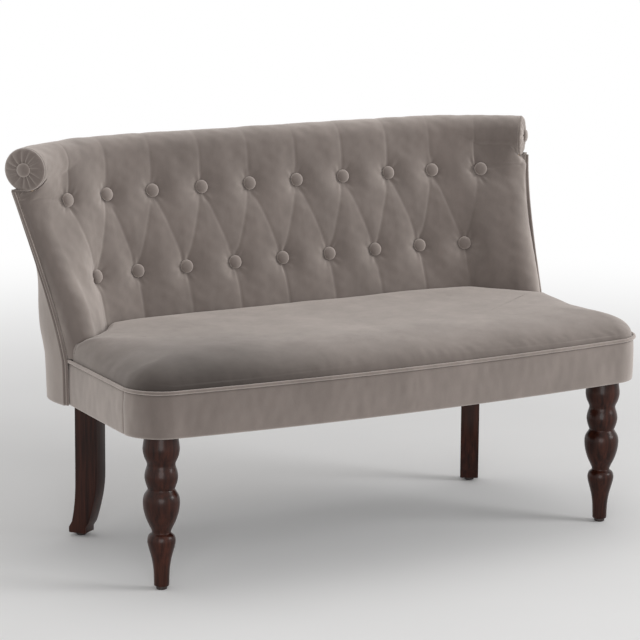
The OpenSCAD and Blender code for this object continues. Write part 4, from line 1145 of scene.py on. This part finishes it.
def roll_end(side):
    """Middle of the roll's end, its outward direction and its rearward direction, for side -1 or 1."""
    at = bent(ROLL_END_P, ROLL_Y, 0)
    flip = np.array([side, 1, 1])
    out = np.array([math.cos(ROLL_TURN), -math.sin(ROLL_TURN), 0])
    rear = np.array([math.sin(ROLL_TURN), math.cos(ROLL_TURN), 0])
    return np.array([*at, ROLL_Z]) * flip, out * flip, rear * flip


def build_scroll_face(side, name, node):
    """A shallow dome of cloth, pleated in towards the button at its middle."""
    at, out, rear = roll_end(side)
    up = np.array([0.0, 0.0, 1.0])
    a = np.linspace(0, 2 * math.pi, FACE_SPOKES, endpoint=False)
    rings = [(r, np.full_like(a, h)) for r, h in FACE_BACK]
    for t in np.linspace(0, 1, FACE_RINGS):
        r = (1 - t) + 0.001
        fold = np.abs(np.sin(FACE_PLEATS * a / 2 + 1.3 * (1 - r) + 0.5 * np.sin(3 * a)))
        depth = FACE_FOLD * smooth((1 - r) / 0.2) * smooth((r - 0.12) / 0.25)
        sink = FACE_SINK * (1 - smooth((r - 0.2) / 0.25))
        dome = max(FACE_EDGE, FACE_T * max(0.0, 1 - r ** 5) ** 0.5)
        rings.append((r, dome - depth * (1 - fold ** 0.7) - sink))
    spokes = np.cos(a)[:, None] * rear + np.sin(a)[:, None] * up
    points = np.stack([at + (ROLL_R - CLEAR) * r * spokes + h[:, None] * out for r, h in rings])
    face = grid_object(name, capped(ring_closed(points)))
    finish_piece(face, "velvet", node)


class SETTEE_OT_scroll_faces(bpy.types.Operator):
    """Pleated round faces on the two ends of the roll"""
    bl_idname = "settee.scroll_faces"
    bl_label = "Scroll faces"

    def execute(self, context):
        build_scroll_face(-1, "left_scroll_face", "scroll_face_left")
        build_scroll_face(1, "right_scroll_face", "scroll_face_right")
        return {"FINISHED"}


def placed_buttons(name, node, places):
    """Copies of one covered button, each with its base at a point and its top along a direction."""
    first = turned(name, [(r * BUTTON_R, h * BUTTON_H) for r, h in BUTTON_PROFILE], 28)
    made = []
    for number, (at, direction) in enumerate(places):
        one = copy_of(first, f"{name}_{number}")
        one.location = Vector(at) * MM
        one.rotation_mode = "QUATERNION"
        one.rotation_quaternion = Vector(direction).to_track_quat("Z", "Y")
        made.append(one)
    bpy.data.objects.remove(first)
    group = joined(name, made)
    finish_piece(group, "velvet_trim", node)


def leaning(normal):
    """A direction in plan, leant back with the front of the back."""
    lean = math.atan(RAKE)
    return normal[0] * math.cos(lean), normal[1] * math.cos(lean), math.sin(lean)


def tuft_place(p, z):
    """Place and direction of a button between the wings, for its chart place."""
    a = np.sign(p) * bend_at(p)
    normal = np.array([-math.sin(a), -math.cos(a)])
    at = crest_pt(np.array(p), np.array(z)) - TUFT_SINK * normal
    return (*at, z), leaning(normal)


def wing_place(side):
    """Place and direction of the upper button on a wing."""
    z = np.array(UPPER_Z)
    angle = tangent_angle(z)
    reach = float(np.linalg.norm(nose_pt(angle, z) - crest_pt(np.array(SPLIT_P), z)))
    point, _ = wing_point(np.array(FLAT_COLUMNS * HALF_PITCH / reach), z)
    flip = np.array([side, 1])
    at = (point - TUFT_SINK * facing(angle)) * flip
    return (*at, UPPER_Z), leaning(facing(angle) * flip)


class SETTEE_OT_buttons(bpy.types.Operator):
    """Covered buttons of the back and of the roll's ends"""
    bl_idname = "settee.buttons"
    bl_label = "Covered buttons"

    def execute(self, context):
        upper, lower = button_places()
        on_back = [tuft_place(*place) for place in upper[1:-1]]
        placed_buttons("upper_row_buttons", "upper_buttons", on_back + [wing_place(-1), wing_place(1)])
        placed_buttons("lower_row_buttons", "lower_buttons", [tuft_place(*place) for place in lower])
        ends = []
        for side in (-1, 1):
            at, out, _ = roll_end(side)
            ends.append((at + out * (FACE_T - END_BUTTON_SINK), out))
        placed_buttons("scroll_end_buttons", "scroll_buttons", ends)
        return {"FINISHED"}


# Cords down the wing edges, and the plain outer cloth
OUTER_ROWS = 90
OUTER_TOP_Z = 646.6
OUTER_T = 0.8
WING_CORD = 3.4
WING_CORD_R = 2.9
TOP_FOLD = [(-0.8, 0.0, 648.0), (-2.2, 0.0, 649.2), (-4.4, 0.0, 649.8), (-6.4, 0.0, 649.9),
            (-8.0, -23.0, 647.6)]
EDGE_FOLD = [(8.0, -0.5), (6.6, -0.9), (4.0, -0.9), (1.2, -0.8),
             (-1.0, 3.0), (-4.0, 7.0), (-14.0, 9.2), (-22.0, 9.6)]
OUTER_SEAM_X = 300.0


def build_wing_piping(side, name, node):
    z = np.linspace(SEAT_BASE_Z + CLEAR, OUTER_TOP_Z - 0.2, 150)
    turn = wing_turn(z)
    flip = np.array([side, 1, 1])
    centre = with_z(edge_pt(z, WING_CORD, -WING_CORD), z) * flip
    out = stack(np.sin(turn), np.cos(turn), 0) * flip
    cord = tube(name, centre, out, WING_CORD_R * (1 + 0.02 * np.sin(z / 2.1)))
    finish_piece(cord, "velvet_trim", node)


def outer_half():
    """Right half of the outer cloth: its face, its top turned in, and its front edge turned in."""
    z = np.linspace(SEAT_BASE_Z + 0.2, OUTER_TOP_Z, OUTER_ROWS)
    seam_q = BEND_Q * OUTER_SEAM_X / outer_pt(np.full_like(z, BEND_Q), z, 0.0)[:, 0]
    arc = np.concatenate([np.linspace(BEND_Q, TAIL_Q, 90)[1:], np.linspace(TAIL_Q, 1, 12)[1:]])
    qq = np.concatenate([np.linspace(0, 1, 80)[:, None] * seam_q,
                         mix(seam_q, BEND_Q, np.linspace(0, 1, 24)[1:, None]),
                         np.broadcast_to(arc[:, None], (len(arc), len(z)))])
    zz = np.broadcast_to(z, qq.shape)
    x = outer_pt(qq, zz, 0.0)[..., 0]
    out = -0.4 - 1.2 * np.exp(-np.abs(x - OUTER_SEAM_X) / SEAM_W)
    out += 0.3 * sums_of_waves(x, zz, 41, 160) + 0.12 * sums_of_waves(x, zz, 42, 45)
    face = with_z(outer_pt(qq, zz, out), zz)
    q = qq[:, -1]
    top = [with_z(outer_pt(q, np.full_like(q, z[-1]), a + b * smooth((q - TAIL_Q) / 0.06)), height)
           for a, b, height in TOP_FOLD]
    half = np.concatenate([face, np.stack(top, axis=1)], axis=1)
    heights = half[-1, :, 2]
    front = [with_z(edge_pt(np.minimum(heights, z[-1]), a, rear), heights) for a, rear in EDGE_FOLD]
    return np.concatenate([half, np.stack(front)], axis=0)


def build_outer_cover():
    half = outer_half()
    points = mirror_u(half)
    cover = grid_object("outer_cloth", points)
    apply_modifier(cover, "SOLIDIFY", thickness=OUTER_T * MM, offset=-1.0)
    finish_piece(cover, "velvet", "outer_cover")


class SETTEE_OT_outer_cloth(bpy.types.Operator):
    """Plain outer cloth and the cords down the wing edges"""
    bl_idname = "settee.outer_cloth"
    bl_label = "Outer cloth"

    def execute(self, context):
        build_wing_piping(-1, "left_wing_piping", "wing_piping_left")
        build_wing_piping(1, "right_wing_piping", "wing_piping_right")
        build_outer_cover()
        return {"FINISHED"}


def build_dust_cloth():
    """The black cloth under the seat: a copy of the frame's own shape, divided and let sag a little."""
    cloth = copy_of(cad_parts["dust_cover"], "underside_cloth")
    cloth.parent = None
    for key in list(cloth.keys()):
        del cloth[key]
    cloth.hide_render = False
    cloth.hide_viewport = False
    make_active(cloth)
    bpy.ops.object.mode_set(mode="EDIT")
    bpy.ops.mesh.select_all(action="SELECT")
    bpy.ops.mesh.remove_doubles(threshold=SEW)
    bpy.ops.mesh.subdivide(number_cuts=5)
    bpy.ops.object.mode_set(mode="OBJECT")
    co = np.zeros(len(cloth.data.vertices) * 3, np.float32)
    cloth.data.vertices.foreach_get("co", co)
    co = co.reshape(-1, 3)
    x, y = co[:, 0] / MM, co[:, 1] / MM
    sag = smooth((430 - np.abs(x)) / 200) * smooth((y + 270) / 120) * smooth((150 - y) / 120)
    co[:, 2] -= (sag * (1.6 + 0.5 * sums_of_waves(x, y, 51, 180)) * MM).astype(np.float32)
    cloth.data.vertices.foreach_set("co", co.ravel())
    cloth.data.update()
    finish_piece(cloth, "dust_cloth", "dust_cover")


class SETTEE_OT_dust_cloth(bpy.types.Operator):
    """Black cloth stapled under the seat frame"""
    bl_idname = "settee.dust_cloth"
    bl_label = "Dust cloth"

    def execute(self, context):
        build_dust_cloth()
        return {"FINISHED"}


# Legs: turned in front, square and curved at the rear
LEG_R = 32.0
LEG_H = 273.75
GLIDE_H = 6.0
FRONT_LEG = (466.0, -219.0)
LEG_RADII = [0.41, 0.44, 0.52, 0.64, 0.74, 0.765, 0.70, 0.56, 0.515, 0.58, 0.80, 0.95,
             1.00, 0.95, 0.80, 0.73, 0.76, 0.86, 0.905, 0.86, 0.78, 0.765, 0.80, 0.93, 1.00, 0.96, 0.88]
LEG_HEIGHTS = [0.000, 0.100, 0.170, 0.225, 0.270, 0.300, 0.328, 0.343, 0.352, 0.375, 0.430, 0.490,
               0.545, 0.585, 0.615, 0.630, 0.640, 0.675, 0.710, 0.745, 0.775, 0.790, 0.805, 0.840,
               0.885, 0.930, 1.000]
REAR_FOOT = (430.0, 170.0)
REAR_TURN = math.radians(34.0)
REAR_KICK = 20.0
REAR_W = 36.0
REAR_FOOT_D = 34.0
REAR_TOP_D = 45.0
REAR_BEND = 0.42
REAR_STEPS = 26
FOOT_EASE = 1.5


def stand_at(obj, at, side):
    """Moves a piece to a place in plan, on the side that is -1 or 1."""
    obj.location.x = side * at[0] * MM
    obj.location.y = at[1] * MM


def build_front_legs():
    shares = smooth_curve(list(zip(LEG_RADII, LEG_HEIGHTS)), 4)
    profile = [(r * LEG_R, GLIDE_H + h * LEG_H) for r, h in shares]
    foot_r, foot_z = profile[0]
    profile[:1] = [(foot_r - FOOT_EASE, foot_z), (foot_r, foot_z + FOOT_EASE)]
    first = turned("right_front_leg", profile, 56)
    second = copy_of(first, "left_front_leg")
    for leg, side, node in ((first, 1, "front_leg_right"), (second, -1, "front_leg_left")):
        stand_at(leg, FRONT_LEG, side)
        finish_piece(leg, "leg_wood", node)


def rear_section(t):
    """How far a rear leg stands out and how deep it is, at a share of its height."""
    near = 1 - np.clip(t / REAR_BEND, 0, 1)
    return REAR_KICK * near ** 2, mix(REAR_FOOT_D, REAR_TOP_D, smooth(t / REAR_BEND))


def build_rear_leg(side, name, node):
    """A square leg drawn up face by face, from the foot that kicks out to the straight top."""
    rise = LEG_H / REAR_STEPS
    out, depth = rear_section(0.0)
    bpy.ops.mesh.primitive_cube_add(size=1, location=(0, out * MM, (GLIDE_H + rise / 2) * MM),
                                    scale=(REAR_W * MM, depth * MM, rise * MM))
    leg = added(name)
    bpy.ops.object.transform_apply(location=True, rotation=True, scale=True)
    bpy.ops.object.mode_set(mode="EDIT")
    bpy.ops.mesh.select_mode(type="FACE")
    bpy.ops.mesh.select_all(action="DESELECT")
    bpy.ops.object.mode_set(mode="OBJECT")
    for face in leg.data.polygons:
        face.select = face.normal.z > 0.9
    bpy.ops.object.mode_set(mode="EDIT")
    for i in range(2, REAR_STEPS + 1):
        new_out, new_depth = rear_section(i / REAR_STEPS)
        bpy.ops.mesh.extrude_region_move(
            TRANSFORM_OT_translate={"value": (0, (new_out - out) * MM, rise * MM)})
        bpy.ops.transform.resize(value=(1, new_depth / depth, 1),
                                 center_override=(0, new_out * MM, (GLIDE_H + rise * i) * MM))
        out, depth = new_out, new_depth
    bpy.ops.object.mode_set(mode="OBJECT")
    apply_modifier(leg, "BEVEL", width=2.2 * MM, segments=3, limit_method="ANGLE",
                   angle_limit=math.radians(50))
    bpy.ops.object.shade_smooth_by_angle(angle=math.radians(35))
    direction = np.array([math.sin(REAR_TURN), math.cos(REAR_TURN)])
    leg.rotation_euler.z = -side * REAR_TURN
    stand_at(leg, np.array(REAR_FOOT) - direction * REAR_KICK, side)
    finish_piece(leg, "leg_wood", node)


GLIDE_PROFILE = [(7.4, 0.0), (8.6, 0.5), (9.3, 1.4), (9.5, 2.4), (9.5, 5.2), (9.2, 5.7), (8.6, 5.95)]


def build_glides():
    first = turned("front_right_glide", GLIDE_PROFILE, 36)
    places = (("front_right_foot_glide", "front_glide_right", FRONT_LEG, 1),
              ("front_left_foot_glide", "front_glide_left", FRONT_LEG, -1),
              ("rear_right_foot_glide", "rear_glide_right", REAR_FOOT, 1),
              ("rear_left_foot_glide", "rear_glide_left", REAR_FOOT, -1))
    for name, node, at, side in places:
        one = copy_of(first, name)
        stand_at(one, at, side)
        finish_piece(one, "glide", node)
    bpy.data.objects.remove(first)


class SETTEE_OT_legs(bpy.types.Operator):
    """Turned front legs, curved rear legs and the glides under them"""
    bl_idname = "settee.legs"
    bl_label = "Legs and glides"

    def execute(self, context):
        build_front_legs()
        build_rear_leg(-1, "left_rear_leg", "rear_leg_left")
        build_rear_leg(1, "right_rear_leg", "rear_leg_right")
        build_glides()
        return {"FINISHED"}


def hidden_slot(name):
    """The finish of a frame piece, from its name."""
    if any(word in name for word in ("spring", "clip", "bolt", "nut")):
        return "steel"
    if "hessian" in name or "strap" in name:
        return "jute"
    return "board" if name == "back_board" else "frame_wood"


class SETTEE_OT_frame_parts(bpy.types.Operator):
    """Finishes of the hidden timber, board, springs, webbing and fittings"""
    bl_idname = "settee.frame_parts"
    bl_label = "Hidden frame finishes"

    def execute(self, context):
        for name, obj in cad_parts.items():
            if not obj.hide_render:
                obj.data.materials.clear()
                obj.data.materials.append(finish(hidden_slot(name)))
        return {"FINISHED"}


# Stage: pale floor, soft lamps and the camera
CAMERA_AT = (-2.61843, -4.35393, 1.36713)
CAMERA_YAW = 0.537788
CAMERA_PITCH = 0.189586
CAMERA_ROLL = 0.007546
CAMERA_FOCUS = 2800.0
PICTURE = 640.0
SENSOR = 36.0
LAMP_AIM_Z = 0.4
FILL_STRENGTH = 0.55

# Name, place, size and share of the key light's power for each lamp
LAMPS = (
    ("key_lamp", (2.9, -2.6, 2.0), 1.8, 1.0),
    ("fill_lamp", (-2.2, -3.6, 1.1), 2.4, 0.9),
    ("top_lamp", (0.2, 0.4, 3.2), 2.2, 0.15),
)


def add_camera():
    yaw, pitch, roll = CAMERA_YAW, CAMERA_PITCH, CAMERA_ROLL
    forward = Vector((math.sin(yaw) * math.cos(pitch), math.cos(yaw) * math.cos(pitch), -math.sin(pitch)))
    right = Vector((math.cos(yaw), -math.sin(yaw), 0))
    up = right.cross(forward)
    x = math.cos(roll) * right + math.sin(roll) * up
    y = -math.sin(roll) * right + math.cos(roll) * up
    bpy.ops.object.camera_add(location=CAMERA_AT)
    camera = added("stage_camera")
    camera.rotation_mode = "QUATERNION"
    camera.rotation_quaternion = Matrix((x, y, -forward)).transposed().to_quaternion()
    camera.data.sensor_width = SENSOR
    camera.data.lens = CAMERA_FOCUS / PICTURE * SENSOR
    camera.data.clip_end = 200.0
    bpy.context.scene.camera = camera


def soft_lamp(name, at, size, power):
    """A round area lamp that faces the middle of the settee."""
    bpy.ops.object.light_add(type="AREA", location=at)
    lamp = added(name)
    lamp.data.shape = "DISK"
    lamp.data.size = size
    lamp.data.energy = power
    lamp.rotation_mode = "QUATERNION"
    lamp.rotation_quaternion = (Vector(at) - Vector((0, 0, LAMP_AIM_Z))).to_track_quat("Z", "Y")


def maths(tree, operation, *values):
    """Runs numbers through one kind of maths node, one after another."""
    total = values[0]
    for value in values[1:]:
        total = new_node(tree, "Math", {0: total, 1: value}, operation=operation).outputs[0]
    return total


def white_rays(tree):
    """A factor that is 1 for rays that show the background: from the camera, off gloss and through glass."""
    rays = new_node(tree, "LightPath").outputs
    return maths(tree, "MAXIMUM", rays["Is Camera Ray"], rays["Is Glossy Ray"], rays["Is Transmission Ray"])


def build_floor(stage):
    """A wide plane that fades to white away from the settee."""
    bpy.ops.mesh.primitive_plane_add(size=60.0, location=(0, 0, 0))
    floor = added("stage_floor")
    mat, tree, shader, coords = new_finish("stage_floor")
    far = new_node(tree, "VectorMath", {0: coords}, operation="LENGTH").outputs["Value"]
    fade = new_node(tree, "MapRange", {"Value": far, "From Min": 0.9, "From Max": 3.2},
                    interpolation_type="SMOOTHSTEP")
    mottle = noise(tree, coords, 3.0, 3.0, 0.5)
    put_all(tree, shader, {"Base Color": toned(tree, tuple(stage.floor), mottle, 0.985, 1.0),
                           "Roughness": 0.9, "Specular IOR Level": 0.1})
    glow = new_node(tree, "Emission", {"Color": (1.0, 1.0, 1.0)})
    share = maths(tree, "MULTIPLY", fade.outputs["Result"], white_rays(tree))
    mixer = new_node(tree, "MixShader",
                     {"Fac": share, 1: shader.outputs["BSDF"], 2: glow.outputs["Emission"]})
    out = [n for n in tree.nodes if n.type == "OUTPUT_MATERIAL"][0]
    put(tree, mixer.outputs["Shader"], out.inputs["Surface"])
    floor.data.materials.append(mat)


def build_world():
    """Soft fill light, and white where the background shows."""
    world = bpy.data.worlds.new("stage_world")
    world.use_nodes = True
    bpy.context.scene.world = world
    tree = world.node_tree
    tree.nodes.clear()
    fill = new_node(tree, "Background", {"Color": (1.0, 0.99, 0.98), "Strength": FILL_STRENGTH})
    shown = new_node(tree, "Background", {"Color": (1.0, 1.0, 1.0), "Strength": 1.0})
    mixer = new_node(tree, "MixShader", {"Fac": white_rays(tree), 1: fill.outputs["Background"],
                                         2: shown.outputs["Background"]})
    new_node(tree, "OutputWorld", {"Surface": mixer.outputs["Shader"]})


class SETTEE_OT_stage(bpy.types.Operator):
    """Pale floor, soft lamps, world and camera"""
    bl_idname = "settee.stage"
    bl_label = "Stage"

    def execute(self, context):
        stage = context.scene.settee_stage
        build_floor(stage)
        build_world()
        for name, at, size, share in LAMPS:
            soft_lamp(name, at, size, stage.key_power * share)
        add_camera()
        context.scene.view_settings.view_transform = "Standard"
        return {"FINISHED"}


class SETTEE_PT_panel(bpy.types.Panel):
    """Sizes, colours and pieces of the settee"""
    bl_idname = "SETTEE_PT_panel"
    bl_label = "High back settee"
    bl_space_type = "VIEW_3D"
    bl_region_type = "UI"
    bl_category = "Settee"

    def draw(self, context):
        layout = self.layout
        for group in GROUPS:
            box = layout.box()
            settings = getattr(context.scene, group)
            for key in GROUPS[group].__annotations__:
                box.prop(settings, key)
        for piece in PIECES:
            layout.operator(piece.bl_idname)


GROUPS = {
    "settee_tufting": SetteeTufting,
    "settee_seat": SetteeSeat,
    "settee_cloth": SetteeCloth,
    "settee_wood": SetteeWood,
    "settee_stage": SetteeStage,
}
PIECES = (
    SETTEE_OT_stage,
    SETTEE_OT_back,
    SETTEE_OT_seat,
    SETTEE_OT_borders,
    SETTEE_OT_scroll_faces,
    SETTEE_OT_buttons,
    SETTEE_OT_outer_cloth,
    SETTEE_OT_dust_cloth,
    SETTEE_OT_legs,
    SETTEE_OT_frame_parts,
)


def register():
    for group, kind in GROUPS.items():
        bpy.utils.register_class(kind)
        setattr(bpy.types.Scene, group, bpy.props.PointerProperty(type=kind))
    for piece in PIECES:
        bpy.utils.register_class(piece)
    bpy.utils.register_class(SETTEE_PT_panel)


def unregister():
    bpy.utils.unregister_class(SETTEE_PT_panel)
    for piece in reversed(PIECES):
        bpy.utils.unregister_class(piece)
    for group, kind in GROUPS.items():
        delattr(bpy.types.Scene, group)
        bpy.utils.unregister_class(kind)


def main():
    register()
    bpy.ops.settee.stage()
    bpy.ops.settee.back_upholstery()
    bpy.ops.settee.seat()
    bpy.ops.settee.borders()
    bpy.ops.settee.scroll_faces()
    bpy.ops.settee.buttons()
    bpy.ops.settee.outer_cloth()
    bpy.ops.settee.dust_cloth()
    bpy.ops.settee.legs()
    bpy.ops.settee.frame_parts()
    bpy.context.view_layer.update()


if __name__ == "__main__":
    main()
